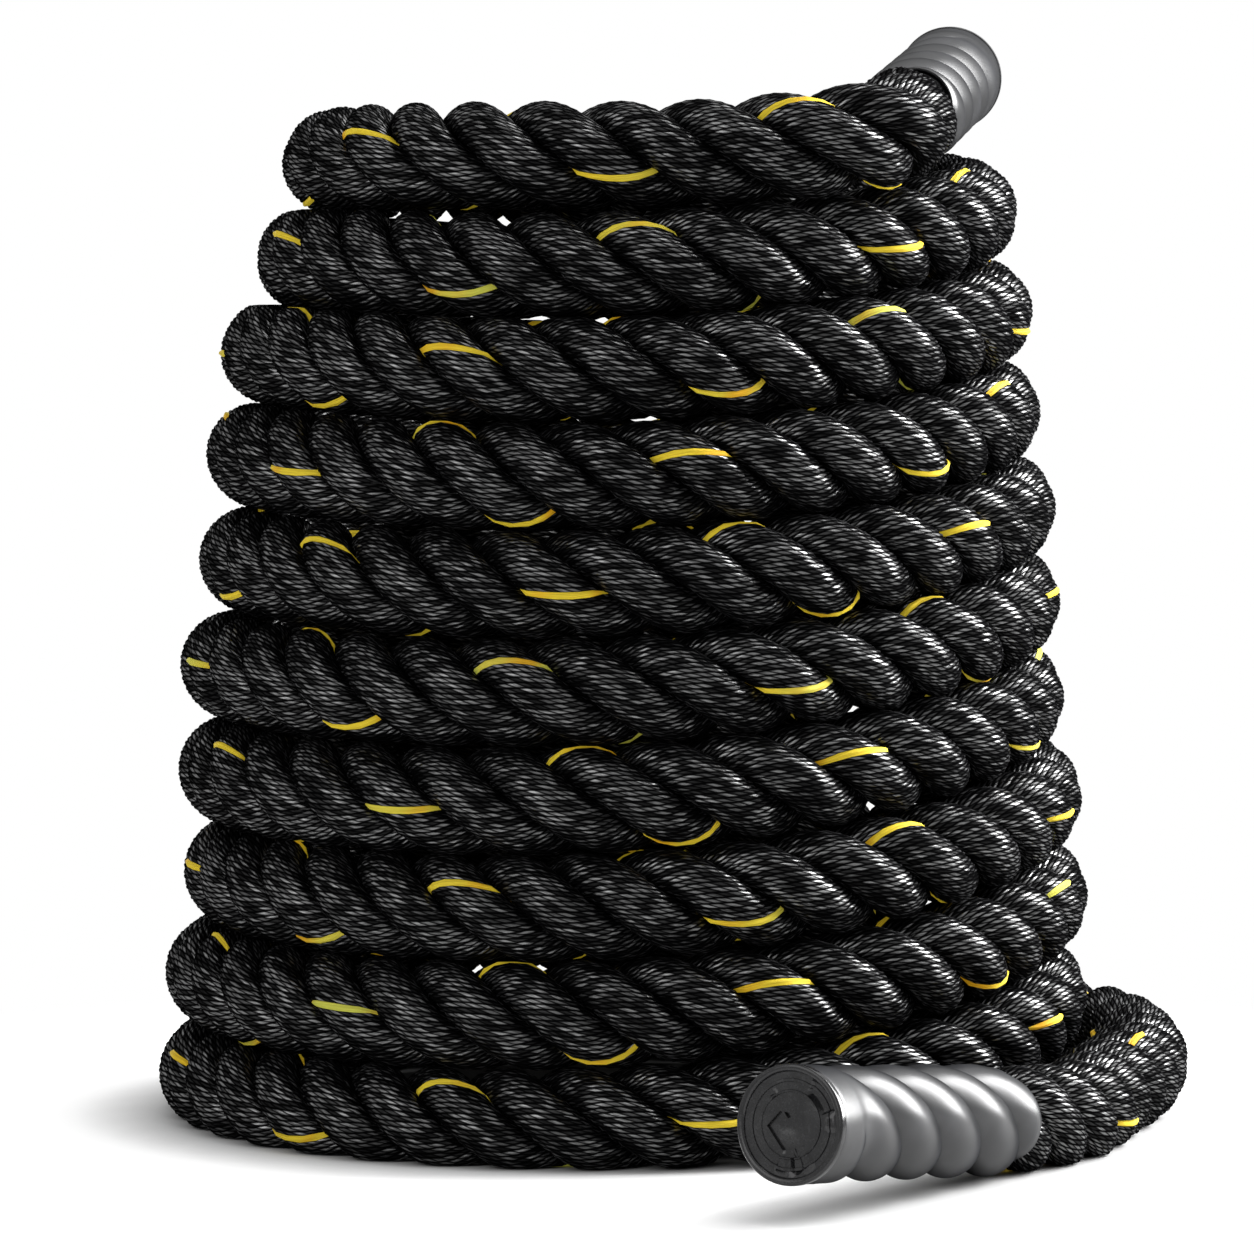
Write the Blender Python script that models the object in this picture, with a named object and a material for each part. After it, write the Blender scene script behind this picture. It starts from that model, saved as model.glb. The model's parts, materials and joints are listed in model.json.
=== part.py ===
"""A three-strand battle rope, coiled in an upright stack, with a shrunk grip sleeve and a cap on each end.

Metres, +Z up, the floor at z = 0. The rope climbs counter-clockwise seen from above. Each turn is
described from its left (-X) through its front (-Y), right (+X) and back (+Y).
"""

import math

import bmesh
import bpy
from mathutils import Matrix, Vector
from mathutils.bvhtree import BVHTree

# Rope
ROPE_DIAMETER = 0.038
STRAND_COUNT = 3
FLOOR_FLAT_DEPTH = 0.0038
TOUCH_GAP = 0.0003

# Coil
COIL_AXIS_X = -0.0169
COIL_AXIS_Y = 0.0636
COIL_TURNS = 9.25
COIL_LEAD_IN_TURNS = 0.25
FIRST_TURN_RADIUS = 0.150
TURN_RISE_SHARE = 0.955
POINTS_PER_TURN = 24
STATIONS_PER_TURN = 4

# Grip sleeves, end caps and binding tape
GRIP_LENGTH = 0.133
GRIP_SQUEEZE = 0.0025
GRIP_LAY_LENGTH = 0.080
SLEEVE_WALL = 0.0011
SLEEVE_VALLEY_DEPTH = 0.0030
SLEEVE_LIP_LENGTH = 0.0030
SLEEVE_LIP_INSET = 0.0006
SLEEVE_FLARE_LENGTH = 0.0140
SLEEVE_FLARE = 0.0002
TAPE_THICKNESS = 0.0006
TAPE_WIDTH = 0.0250
CAP_PLUG_DEPTH = 0.0050
CAP_FLANGE_THICKNESS = 0.0030
CAP_FLANGE_OVERHANG = 0.0004
CAP_EDGE_ROUND = 0.0008
CAP_RIM_WIDTH = 0.0022
CAP_RECESS_DEPTH = 0.0011
CAP_DIMPLE_DEPTH = 0.0016

# Ends of the rope: bearing of each grip's mouth from the coil's axis, in degrees from +X, how far it lies
# beyond the nearest turn and how far it is lifted, in rope diameters, and which way the grip points
LOWER_MOUTH_BEARING = -54.3
LOWER_MOUTH_BEYOND_SHARE = 1.597
LOWER_GRIP_WAY_SHARES = (-0.527, -0.844, 0.102)
UPPER_MOUTH_BEARING = -25.9
UPPER_MOUTH_BEYOND_SHARE = 0.073
UPPER_MOUTH_LIFT_SHARE = 0.40
UPPER_GRIP_WAY_SHARES = (0.161, 0.977, 0.137)

# Route of the free run from the lower grip round the right side to the back: bearing in degrees, then
# distance beyond the first turn and lift off the floor in rope diameters
FLOOR_ROUTE_SHARES = (
    (-22.2, 0.830, 0.011),
    (-7.1, 0.860, 0.021),
    (7.8, 1.000, 0.053),
    (22.8, 1.150, 0.063),
    (38.2, 1.090, 0.042),
    (54.2, 0.727, 0.016),
)

# How the radius falls from the first turn to the last, as shares of the first turn's radius
TAPER_SHARE = 0.152
TOP_DRAW_IN_SHARE = 0.133
TOP_DRAW_IN_POWER = 5

# How far each turn's middle is thrown to the right, as shares of the rope's diameter, from the lowest turn up
TURN_SWAY_SHARES = (-0.02, -0.02, 0.09, -0.02, -0.07, 0.03, 0.00, 0.00, 0.15, 0.13, 0.10)

# How much of a turn's rise is climbed by its left, front, right and back, low and high in the stack
LOW_CLIMB_SHARES = (0.0, 0.02, 0.77, 1.0)
HIGH_CLIMB_SHARES = (0.15, 0.02, 0.55, 0.90)
LAST_LOW_TURN = 2
FIRST_HIGH_TURN = 7

# Lobes, strands and cap face, as shares
VALLEY_SHARPNESS = 0.8
CREST_CURVE_SHARE = 0.55
STRAND_TIP_SHARE = 0.08
DIMPLE_REACH_SHARE = 0.80
DIMPLE_RING_SHARES = (1.0, 0.8, 0.6, 0.4, 0.2)

# Facets
COIL_BEVEL_RESOLUTION = 1
FREE_RUN_BEVEL_RESOLUTION = 3
FREE_RUN_SPACING_SHARE = 2.0
GRIP_RINGS = 36
SLEEVE_POINTS_PER_LOBE = 8
STRAND_ARC_POINTS = 7
CAP_POINTS = 36

ROPE_RADIUS = ROPE_DIAMETER / 2
FLOOR_CENTRE_HEIGHT = ROPE_RADIUS - FLOOR_FLAT_DEPTH
TURN_RISE = ROPE_DIAMETER * TURN_RISE_SHARE
GRIP_ROPE_RADIUS = ROPE_RADIUS - GRIP_SQUEEZE
ROUND_FROM = GRIP_LENGTH - 2 * CAP_PLUG_DEPTH
TAPE_CREST = GRIP_ROPE_RADIUS + TOUCH_GAP + TAPE_THICKNESS
SLEEVE_CREST = TAPE_CREST + TOUCH_GAP + SLEEVE_WALL
COIL_AXIS = Vector((COIL_AXIS_X, COIL_AXIS_Y, 0))
UP = Vector((0, 0, 1))


def clear_scene():
    for obj in list(bpy.data.objects):
        bpy.data.objects.remove(obj, do_unlink=True)


def make_material(name, colour, roughness, metallic=0.0):
    material = bpy.data.materials.new(name)
    material.use_nodes = True
    shader = material.node_tree.nodes["Principled BSDF"]
    shader.inputs["Base Color"].default_value = (*colour, 1.0)
    shader.inputs["Roughness"].default_value = roughness
    shader.inputs["Metallic"].default_value = metallic
    material.diffuse_color = (*colour, 1.0)
    return material


def add_mesh_object(name, mesh, material, placing=None):
    obj = bpy.data.objects.new(name, mesh)
    bpy.context.scene.collection.objects.link(obj)
    mesh.materials.clear()
    mesh.materials.append(material)
    mesh.shade_smooth()
    mesh.set_sharp_from_angle(angle=math.radians(40))
    if placing is not None:
        obj.matrix_world = placing
    return obj


def mesh_from_bmesh(name, shape):
    bmesh.ops.recalc_face_normals(shape, faces=shape.faces)
    mesh = bpy.data.meshes.new(name)
    shape.to_mesh(mesh)
    shape.free()
    return mesh


def smooth_step(value):
    value = min(1.0, max(0.0, value))
    return value * value * (3 - 2 * value)


def smooth_value(values, position):
    """The value at a position along evenly spaced values, on a Catmull-Rom curve through them."""
    last = len(values) - 1
    position = min(max(position, 0.0), float(last))
    index = min(int(position), last - 1)
    before = values[max(index - 1, 0)]
    start = values[index]
    end = values[index + 1]
    after = values[min(index + 2, last)]
    u = position - index
    return 0.5 * (
        2 * start
        + (end - before) * u
        + (2 * before - 5 * start + 4 * end - after) * u**2
        + (3 * start - before - 3 * end + after) * u**3
    )


def station_height(station):
    """Height of the rope's centre at a quarter-turn station, counted from the left of the first turn."""
    if station < 0:
        return FLOOR_CENTRE_HEIGHT
    turn, quarter = divmod(station, STATIONS_PER_TURN)
    high = smooth_step((turn - LAST_LOW_TURN) / (FIRST_HIGH_TURN - LAST_LOW_TURN))
    climbed = (1 - high) * LOW_CLIMB_SHARES[quarter] + high * HIGH_CLIMB_SHARES[quarter]
    return FLOOR_CENTRE_HEIGHT + (turn + climbed) * TURN_RISE


LEAD_IN_STATIONS = round(COIL_LEAD_IN_TURNS * STATIONS_PER_TURN)
STATION_HEIGHTS = [
    station_height(station)
    for station in range(-LEAD_IN_STATIONS, round(COIL_TURNS * STATIONS_PER_TURN) + 1)
]


def coil_radius(turns):
    climbed = max(0.0, turns) / COIL_TURNS
    drawn_in = TAPER_SHARE * climbed + TOP_DRAW_IN_SHARE * climbed**TOP_DRAW_IN_POWER
    return FIRST_TURN_RADIUS * (1 - drawn_in)


def coil_point(turns):
    """Centre of the rope at a count of turns from the left of the first turn."""
    angle = math.pi + math.tau * turns
    radius = coil_radius(turns)
    sway = ROPE_DIAMETER * smooth_value(TURN_SWAY_SHARES, turns)
    height = smooth_value(STATION_HEIGHTS, (turns + COIL_LEAD_IN_TURNS) * STATIONS_PER_TURN)
    return COIL_AXIS + Vector((sway + radius * math.cos(angle), radius * math.sin(angle), height))


def seen_from_axis(bearing, radius, height):
    """A place at a bearing in degrees from +X, a distance from the coil's axis and a height."""
    angle = math.radians(bearing)
    return COIL_AXIS + Vector((radius * math.cos(angle), radius * math.sin(angle), height))


def lower_mouth():
    """Mouth of the lower grip, whose ridges rest on the floor."""
    radius = FIRST_TURN_RADIUS + ROPE_DIAMETER * LOWER_MOUTH_BEYOND_SHARE
    return seen_from_axis(LOWER_MOUTH_BEARING, radius, SLEEVE_CREST)


def upper_mouth():
    """Mouth of the upper grip, lifted over the turn below the last one."""
    radius = coil_radius(COIL_TURNS) + ROPE_DIAMETER * UPPER_MOUTH_BEYOND_SHARE
    height = coil_point(COIL_TURNS).z + ROPE_DIAMETER * UPPER_MOUTH_LIFT_SHARE
    return seen_from_axis(UPPER_MOUTH_BEARING, radius, height)


def hermite(start, start_tangent, end, end_tangent, u):
    return (
        (2 * u**3 - 3 * u**2 + 1) * start
        + (u**3 - 2 * u**2 + u) * start_tangent
        + (3 * u**2 - 2 * u**3) * end
        + (u**3 - u**2) * end_tangent
    )


def curve_through(route, start_way, end_way, samples=24):
    """Dense points on one smooth curve through the route, leaving and arriving along the given ways."""
    count = len(route)
    tangents = [(route[min(i + 1, count - 1)] - route[max(i - 1, 0)]) / 2 for i in range(count)]
    tangents[0] = start_way * (route[1] - route[0]).length
    tangents[-1] = end_way * (route[-1] - route[-2]).length
    points = []
    for i in range(count - 1):
        for k in range(samples):
            points.append(hermite(route[i], tangents[i], route[i + 1], tangents[i + 1], k / samples))
    points.append(route[-1])
    return points


def path_length(points):
    return sum((b - a).length for a, b in zip(points, points[1:]))


def evenly_spaced(points, spacing):
    """Points at one spacing along a dense line, its two ends kept."""
    total = path_length(points)
    steps = max(1, round(total / spacing))
    wanted = total / steps
    spaced = [points[0]]
    travelled = 0.0
    for a, b in zip(points, points[1:]):
        step = (b - a).length
        while len(spaced) < steps and travelled + step >= wanted * len(spaced):
            spaced.append(a.lerp(b, (wanted * len(spaced) - travelled) / step))
        travelled += step
    spaced.append(points[-1])
    return spaced


class Grip:
    """Where one grip stands: its mouth, its axis away from the rope, and the turn of its lobes."""

    def __init__(self, name, mouth, way_shares):
        self.name = name
        self.mouth = mouth
        self.way = Vector(way_shares).normalized()
        turn = self.way.to_track_quat("Z", "Y").to_matrix().to_4x4()
        self.placing = Matrix.Translation(self.mouth) @ turn

    def rope_end(self):
        """The rope's end face, one touch gap short of the grip's mouth."""
        return self.mouth - self.way * TOUCH_GAP

    def straight_start(self):
        """Where the rope's straight stretch of one diameter into the grip begins."""
        return self.rope_end() - self.way * ROPE_DIAMETER


def coil_line(upper_grip):
    """Centre line of the coil, from its straight start at the back of the stack to the upper grip."""
    step = 1 / POINTS_PER_TURN
    first = coil_point(-COIL_LEAD_IN_TURNS)
    points = [coil_start(), first]
    turned = -COIL_LEAD_IN_TURNS + step
    while turned < COIL_TURNS - step / 2:
        points.append(coil_point(turned))
        turned += step
    leaving = coil_point(COIL_TURNS)
    way = (coil_point(COIL_TURNS) - coil_point(COIL_TURNS - step / 4)).normalized()
    arriving = upper_grip.straight_start()
    bend = curve_through([leaving, arriving], way, upper_grip.way)
    points += evenly_spaced(bend, math.tau * coil_radius(COIL_TURNS) / POINTS_PER_TURN)
    points.append(upper_grip.rope_end())
    return points


def coil_start():
    """The coil's lower end face, one diameter before the first turn's back, on its tangent."""
    return coil_point(-COIL_LEAD_IN_TURNS) + Vector((ROPE_DIAMETER, 0, 0))


def floor_run_line(lower_grip):
    """Centre line of the free run from the lower grip round the right side to the back of the coil."""
    end = coil_start() + Vector((TOUCH_GAP, 0, 0))
    straight_end = end + Vector((ROPE_DIAMETER, 0, 0))
    route = [lower_grip.straight_start()]
    for bearing, beyond_share, lift_share in FLOOR_ROUTE_SHARES:
        radius = FIRST_TURN_RADIUS + ROPE_DIAMETER * beyond_share
        height = FLOOR_CENTRE_HEIGHT + ROPE_DIAMETER * lift_share
        route.append(seen_from_axis(bearing, radius, height))
    route.append(straight_end)
    dense = curve_through(route, -lower_grip.way, Vector((-1, 0, 0)))
    spaced = evenly_spaced(dense, FREE_RUN_SPACING_SHARE * ROPE_DIAMETER)
    return [lower_grip.rope_end(), *spaced, end]


def tube_mesh(name, points, bevel_resolution):
    """A closed tube of the rope's diameter along the points, before it is laid on the floor."""
    curve = bpy.data.curves.new(name, "CURVE")
    curve.dimensions = "3D"
    curve.twist_mode = "Z_UP"
    curve.bevel_depth = ROPE_RADIUS
    curve.bevel_resolution = bevel_resolution
    curve.use_fill_caps = True
    spline = curve.splines.new("POLY")
    spline.points.add(len(points) - 1)
    for spline_point, point in zip(spline.points, points):
        spline_point.co = (*point, 1.0)
    guide = bpy.data.objects.new(name + "_guide", curve)
    bpy.context.scene.collection.objects.link(guide)
    bpy.context.view_layer.update()
    evaluated = guide.evaluated_get(bpy.context.evaluated_depsgraph_get())
    mesh = bpy.data.meshes.new_from_object(evaluated)
    bpy.data.objects.remove(guide, do_unlink=True)
    return mesh


def laid_on_floor(name, tube):
    """The tube with what is under the floor cut away and the cut closed flat."""
    shape = bmesh.new()
    shape.from_mesh(tube)
    bpy.data.meshes.remove(tube)
    bmesh.ops.remove_doubles(shape, verts=shape.verts, dist=TOUCH_GAP / 10)
    cut = bmesh.ops.bisect_plane(
        shape,
        geom=[*shape.verts, *shape.edges, *shape.faces],
        dist=TOUCH_GAP / 100,
        plane_co=(0, 0, 0),
        plane_no=UP,
        clear_inner=True,
    )
    edges = [item for item in cut["geom_cut"] if isinstance(item, bmesh.types.BMEdge)]
    if edges:
        bmesh.ops.triangle_fill(shape, use_beauty=True, edges=edges, normal=-UP)
    return mesh_from_bmesh(name, shape)


def least_gap_to_itself(tube, rings):
    """Least distance from the coil's corners and face middles to its next turns."""
    sides = len(tube.vertices) // rings
    half_turn = POINTS_PER_TURN // 2
    vertices = [vertex.co.copy() for vertex in tube.vertices]
    walls = [(min(polygon.vertices) // sides, polygon) for polygon in tube.polygons]
    least = math.inf
    for first in range(0, rings, half_turn):
        clear_of_own = first + half_turn + half_turn // 2
        others = [wall for ring, wall in walls if clear_of_own <= ring < first + 4 * half_turn]
        if not others:
            continue
        tree = BVHTree.FromPolygons(vertices, [list(wall.vertices) for wall in others])
        for ring, wall in walls:
            if first <= ring < first + half_turn:
                for place in [wall.center, *(vertices[corner] for corner in wall.vertices)]:
                    least = min(least, tree.find_nearest(place)[3])
    return least


def lobe_valley(angle):
    """0 on the crest of a lobe and 1 in the valley between two, with the valley narrower than the crest."""
    return 1 - abs(math.cos(STRAND_COUNT * angle / 2)) ** VALLEY_SHARPNESS


def grip_twist(along):
    """Turn of the lobes of a right-hand laid rope at a distance into the grip."""
    return math.tau * along / GRIP_LAY_LENGTH


def lobed_shell(name, stations):
    """A hollow sleeve whose lobes wind round it, open at both ends.

    Each station is (distance along, outer crest, outer valley depth, inner crest, inner valley depth).
    """
    count = STRAND_COUNT * SLEEVE_POINTS_PER_LOBE
    shape = bmesh.new()
    outer, inner = [], []
    for along, crest, depth, inner_crest, inner_depth in stations:
        twist = grip_twist(min(along, ROUND_FROM))
        rings = ([], [])
        for k in range(count):
            angle = math.tau * k / count
            valley = lobe_valley(angle)
            across = Vector((math.cos(angle + twist), math.sin(angle + twist), 0))
            for ring, radius in zip(rings, (crest - depth * valley, inner_crest - inner_depth * valley)):
                ring.append(shape.verts.new(across * radius + UP * along))
        outer.append(rings[0])
        inner.append(rings[1])
    loop = outer + inner[::-1]
    for ring, following in zip(loop, loop[1:] + loop[:1]):
        for k in range(count):
            after = (k + 1) % count
            shape.faces.new((ring[k], ring[after], following[after], following[k]))
    return mesh_from_bmesh(name, shape)


def grip_places():
    """Distances into the grip of the rings that sleeve, tape and strands share, so that they wind alike."""
    places = [0.0, SLEEVE_LIP_LENGTH / 3, SLEEVE_LIP_LENGTH]
    body_steps = GRIP_RINGS - len(places)
    body = GRIP_LENGTH - SLEEVE_LIP_LENGTH
    return places + [SLEEVE_LIP_LENGTH + body * (k + 1) / body_steps for k in range(body_steps)]


def sleeve_mesh(name):
    """The shrunk sleeve: a thin lip at its mouth, lobes that follow the strands, and a round flared end."""
    crest = SLEEVE_CREST
    flare_start = ROUND_FROM - SLEEVE_FLARE_LENGTH
    stations = []
    for along in grip_places():
        lip = SLEEVE_LIP_INSET * (1 - smooth_step(along / SLEEVE_LIP_LENGTH))
        flare = smooth_step((along - flare_start) / SLEEVE_FLARE_LENGTH)
        depth = SLEEVE_VALLEY_DEPTH * (1 - flare)
        stations.append(
            (along, crest - lip + SLEEVE_FLARE * flare, depth, crest - SLEEVE_WALL, depth)
        )
    return lobed_shell(name, stations)


def tape_mesh(name):
    """The binding tape round the strands, where the sleeve's round end begins."""
    inner = GRIP_ROPE_RADIUS + TOUCH_GAP
    depth = SLEEVE_VALLEY_DEPTH
    places = [along for along in grip_places() if ROUND_FROM - TAPE_WIDTH <= along < ROUND_FROM]
    return lobed_shell(name, [(along, TAPE_CREST, depth, inner, depth) for along in places])


def strand_section():
    """Outline of one strand of the squeezed rope: two flat flanks on its neighbours and a round crest."""
    half = math.pi / STRAND_COUNT
    along_flank = Vector((math.cos(half), math.sin(half)))
    off_flank = Vector((math.sin(half), -math.cos(half))) * (TOUCH_GAP / 2)
    crest_radius = CREST_CURVE_SHARE * GRIP_ROPE_RADIUS
    centre = GRIP_ROPE_RADIUS - crest_radius
    tip = STRAND_TIP_SHARE * GRIP_ROPE_RADIUS
    reach = centre * math.cos(half) + math.sqrt(crest_radius**2 - (centre * math.sin(half)) ** 2)
    groove = along_flank * reach + off_flank
    groove_angle = math.atan2(groove.y, groove.x - centre)
    points = [along_flank * tip + off_flank, along_flank * (tip + reach) / 2 + off_flank]
    for k in range(STRAND_ARC_POINTS + 1):
        angle = groove_angle * (1 - 2 * k / STRAND_ARC_POINTS)
        points.append(Vector((centre + crest_radius * math.cos(angle), crest_radius * math.sin(angle))))
    points += [Vector((point.x, -point.y)) for point in reversed(points[:2])]
    return points


def strand_mesh(name, number):
    """One strand of the rope's end, wound with its neighbours from the grip's mouth to the cap's plug."""
    section = strand_section()
    length = GRIP_LENGTH - CAP_PLUG_DEPTH - TOUCH_GAP
    shape = bmesh.new()
    rings = []
    for along in [*(place for place in grip_places() if place < length), length]:
        turn = grip_twist(along) + math.tau * number / STRAND_COUNT
        cos, sin = math.cos(turn), math.sin(turn)
        rings.append(
            [
                shape.verts.new((p.x * cos - p.y * sin, p.x * sin + p.y * cos, along))
                for p in section
            ]
        )
    for ring, following in zip(rings, rings[1:]):
        for k in range(len(section)):
            after = (k + 1) % len(section)
            a, b, c, d = ring[k], ring[after], following[after], following[k]
            # Both flanks fold along the line from the inner edge to the next outer edge, so neighbours nest.
            folds = ((a, b, c), (a, c, d)) if 2 * k < len(section) else ((a, b, d), (b, c, d))
            for fold in folds:
                shape.faces.new(fold)
    shape.faces.new(rings[0])
    shape.faces.new(rings[-1])
    return mesh_from_bmesh(name, shape)


def cap_mesh(name):
    """The moulded end cap: a plug inside the sleeve, a flange with a rounded rim, and a dimpled face."""
    plug = TAPE_CREST
    flange = SLEEVE_CREST + SLEEVE_FLARE + CAP_FLANGE_OVERHANG
    seat = GRIP_LENGTH + TOUCH_GAP
    top = seat + CAP_FLANGE_THICKNESS
    face = top - CAP_RECESS_DEPTH
    rim_inside = flange - CAP_RIM_WIDTH
    profile = [
        (plug - CAP_EDGE_ROUND, GRIP_LENGTH - CAP_PLUG_DEPTH),
        (plug, GRIP_LENGTH - CAP_PLUG_DEPTH + CAP_EDGE_ROUND),
        (plug, seat),
        (flange - CAP_EDGE_ROUND / 2, seat),
        (flange, seat + CAP_EDGE_ROUND / 2),
        (flange, top - CAP_EDGE_ROUND),
        (flange - CAP_EDGE_ROUND / 3, top - CAP_EDGE_ROUND / 3),
        (flange - CAP_EDGE_ROUND, top),
        (rim_inside, top),
        (rim_inside - CAP_EDGE_ROUND, face),
    ]
    face_radii = [DIMPLE_REACH_SHARE * rim_inside * share for share in DIMPLE_RING_SHARES]
    shape = bmesh.new()
    rings = []
    for radius, height in profile + [(radius, face) for radius in face_radii]:
        ring = []
        for k in range(CAP_POINTS):
            angle = math.tau * k / CAP_POINTS
            sunk = 0.0
            if radius in face_radii:
                around = max(0.0, math.cos(STRAND_COUNT * angle))
                outward = math.sin(math.pi * radius / face_radii[0]) if radius < face_radii[0] else 0.0
                sunk = CAP_DIMPLE_DEPTH * around * outward
            ring.append(
                shape.verts.new((radius * math.cos(angle), radius * math.sin(angle), height - sunk))
            )
        rings.append(ring)
    for ring, following in zip(rings, rings[1:]):
        for k in range(CAP_POINTS):
            after = (k + 1) % CAP_POINTS
            shape.faces.new((ring[k], ring[after], following[after], following[k]))
    shape.faces.new(rings[0])
    shape.faces.new(rings[-1])
    return mesh_from_bmesh(name, shape)


def add_grip(grip, materials):
    """The sleeve, cap, tape and strand ends of one grip, all placed on the grip's axis."""
    pieces = [
        ("grip_sleeve", sleeve_mesh, "sleeve"),
        ("end_cap", cap_mesh, "cap"),
        ("binding_tape", tape_mesh, "tape"),
    ]
    for piece, make_mesh, finish in pieces:
        name = f"{grip.name}_{piece}"
        add_mesh_object(name, make_mesh(name), materials[finish], grip.placing)
    for number in range(STRAND_COUNT):
        name = f"{grip.name}_strand_end_{number + 1}"
        add_mesh_object(name, strand_mesh(name, number), materials["rope"], grip.placing)


def report(name, value):
    print(f"{name}: {value:.4f}")


def main():
    clear_scene()
    materials = {
        "rope": make_material("black_polyester_rope", (0.016, 0.016, 0.017), 0.62),
        "sleeve": make_material("satin_shrink_sleeve", (0.058, 0.060, 0.064), 0.38),
        "cap": make_material("gloss_black_cap", (0.020, 0.020, 0.022), 0.16),
        "tape": make_material("black_binding_tape", (0.025, 0.025, 0.026), 0.5),
    }
    lower_grip = Grip("lower", lower_mouth(), LOWER_GRIP_WAY_SHARES)
    upper_grip = Grip("upper", upper_mouth(), UPPER_GRIP_WAY_SHARES)
    coil = coil_line(upper_grip)
    coil_tube = tube_mesh("rope_coil", coil, COIL_BEVEL_RESOLUTION)
    report("least gap of the coil to itself, m", least_gap_to_itself(coil_tube, len(coil)))
    add_mesh_object("rope_coil", laid_on_floor("rope_coil", coil_tube), materials["rope"])
    run = floor_run_line(lower_grip)
    run_tube = tube_mesh("rope_floor_run", run, FREE_RUN_BEVEL_RESOLUTION)
    add_mesh_object("rope_floor_run", laid_on_floor("rope_floor_run", run_tube), materials["rope"])
    for grip in (lower_grip, upper_grip):
        add_grip(grip, materials)
    in_grips = 2 * (GRIP_LENGTH - CAP_PLUG_DEPTH)
    report("coil length, m", path_length(coil))
    report("floor run length, m", path_length(run))
    report("rope length, m", path_length(coil) + path_length(run) + in_grips)


main()
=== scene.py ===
"""Looks of a three-strand battle rope, coiled in an upright stack, with a grip sleeve and cap on each end.

Metres, +Z up, the floor at z = 0. The rope is modelled as three round strands laid right-handed round one
centre line, from the lower grip, along the floor, up the coil and into the upper grip.
"""

from __future__ import annotations

import json
import logging
import math
from collections.abc import Callable
from dataclasses import dataclass
from enum import Enum

import bmesh
import bpy
import numpy as np
from mathutils import Matrix, Vector

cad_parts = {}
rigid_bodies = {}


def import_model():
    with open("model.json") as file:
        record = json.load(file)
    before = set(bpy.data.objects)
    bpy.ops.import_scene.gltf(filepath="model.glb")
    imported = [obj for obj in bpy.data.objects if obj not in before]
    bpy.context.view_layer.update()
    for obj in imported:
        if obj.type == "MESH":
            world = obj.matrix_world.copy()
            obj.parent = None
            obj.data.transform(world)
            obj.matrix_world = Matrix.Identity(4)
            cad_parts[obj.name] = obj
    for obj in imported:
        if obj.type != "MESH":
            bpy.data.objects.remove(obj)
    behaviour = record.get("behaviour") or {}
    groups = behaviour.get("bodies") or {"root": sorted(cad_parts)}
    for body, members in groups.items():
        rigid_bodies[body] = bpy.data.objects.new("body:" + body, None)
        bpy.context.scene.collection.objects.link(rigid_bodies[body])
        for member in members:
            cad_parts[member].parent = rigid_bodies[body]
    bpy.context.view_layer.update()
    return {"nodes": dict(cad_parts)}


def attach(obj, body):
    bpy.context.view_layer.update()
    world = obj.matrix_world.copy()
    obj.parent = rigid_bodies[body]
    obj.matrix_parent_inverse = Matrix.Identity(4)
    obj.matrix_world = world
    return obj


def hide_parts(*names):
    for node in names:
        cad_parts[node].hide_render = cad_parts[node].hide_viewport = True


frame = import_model()

logging.basicConfig(level=logging.INFO, format="%(message)s")
log = logging.getLogger("battle_rope")

# The coil's axis, as in the part's source
COIL_AXIS = (-0.0169, 0.0636)
# The rope's make-up: strands, points to a yarn on a ring, and the step of the yarns' count between strands
STRANDS = 3
POINTS_PER_YARN = 3
YARN_COUNT_STEP = 100
# Places along a turn of the coil at which its height is given
QUARTERS = 4
# Pixels along a side of the photograph
IMAGE_SIDE = 1254
# With no window, transform.rotate turns the other way
TURN_SIGN = -1
MILLIMETRES = 1000
WHITE = (1.0, 1.0, 1.0)

Pair = tuple[float, float]
Triple = tuple[float, float, float]
Ramp = tuple[float, float, float, float]


class RecordSlot(Enum):
    """The record's material slots for the scene's own pieces; nothing in the script uses them."""

    ROPE = "rope"
    SLEEVE = "sleeve"
    CAP = "cap"


def deselect_all() -> None:
    """Leaves nothing selected and nothing active."""
    for obj in bpy.context.view_layer.objects:
        obj.select_set(False)
    bpy.context.view_layer.objects.active = None


def smooth_step(value: float) -> float:
    """A smooth rise from 0 to 1 for a value between 0 and 1."""
    value = min(1.0, max(0.0, value))
    return value * value * (3 - 2 * value)


def operator_method(operation: str, swapped: bool = False) -> Callable[[Wire, Wire | float], Wire]:
    """Makes the method of Wire that stands for an operator.

    Args:
        operation: the Math node's operation.
        swapped: whether the other value comes first, as in a reflected operator.

    Returns:
        The method.
    """

    def method(self: Wire, other: Wire | float) -> Wire:
        """The operator's result."""
        return self.maths(operation, *((other, self) if swapped else (self, other)))

    return method


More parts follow.
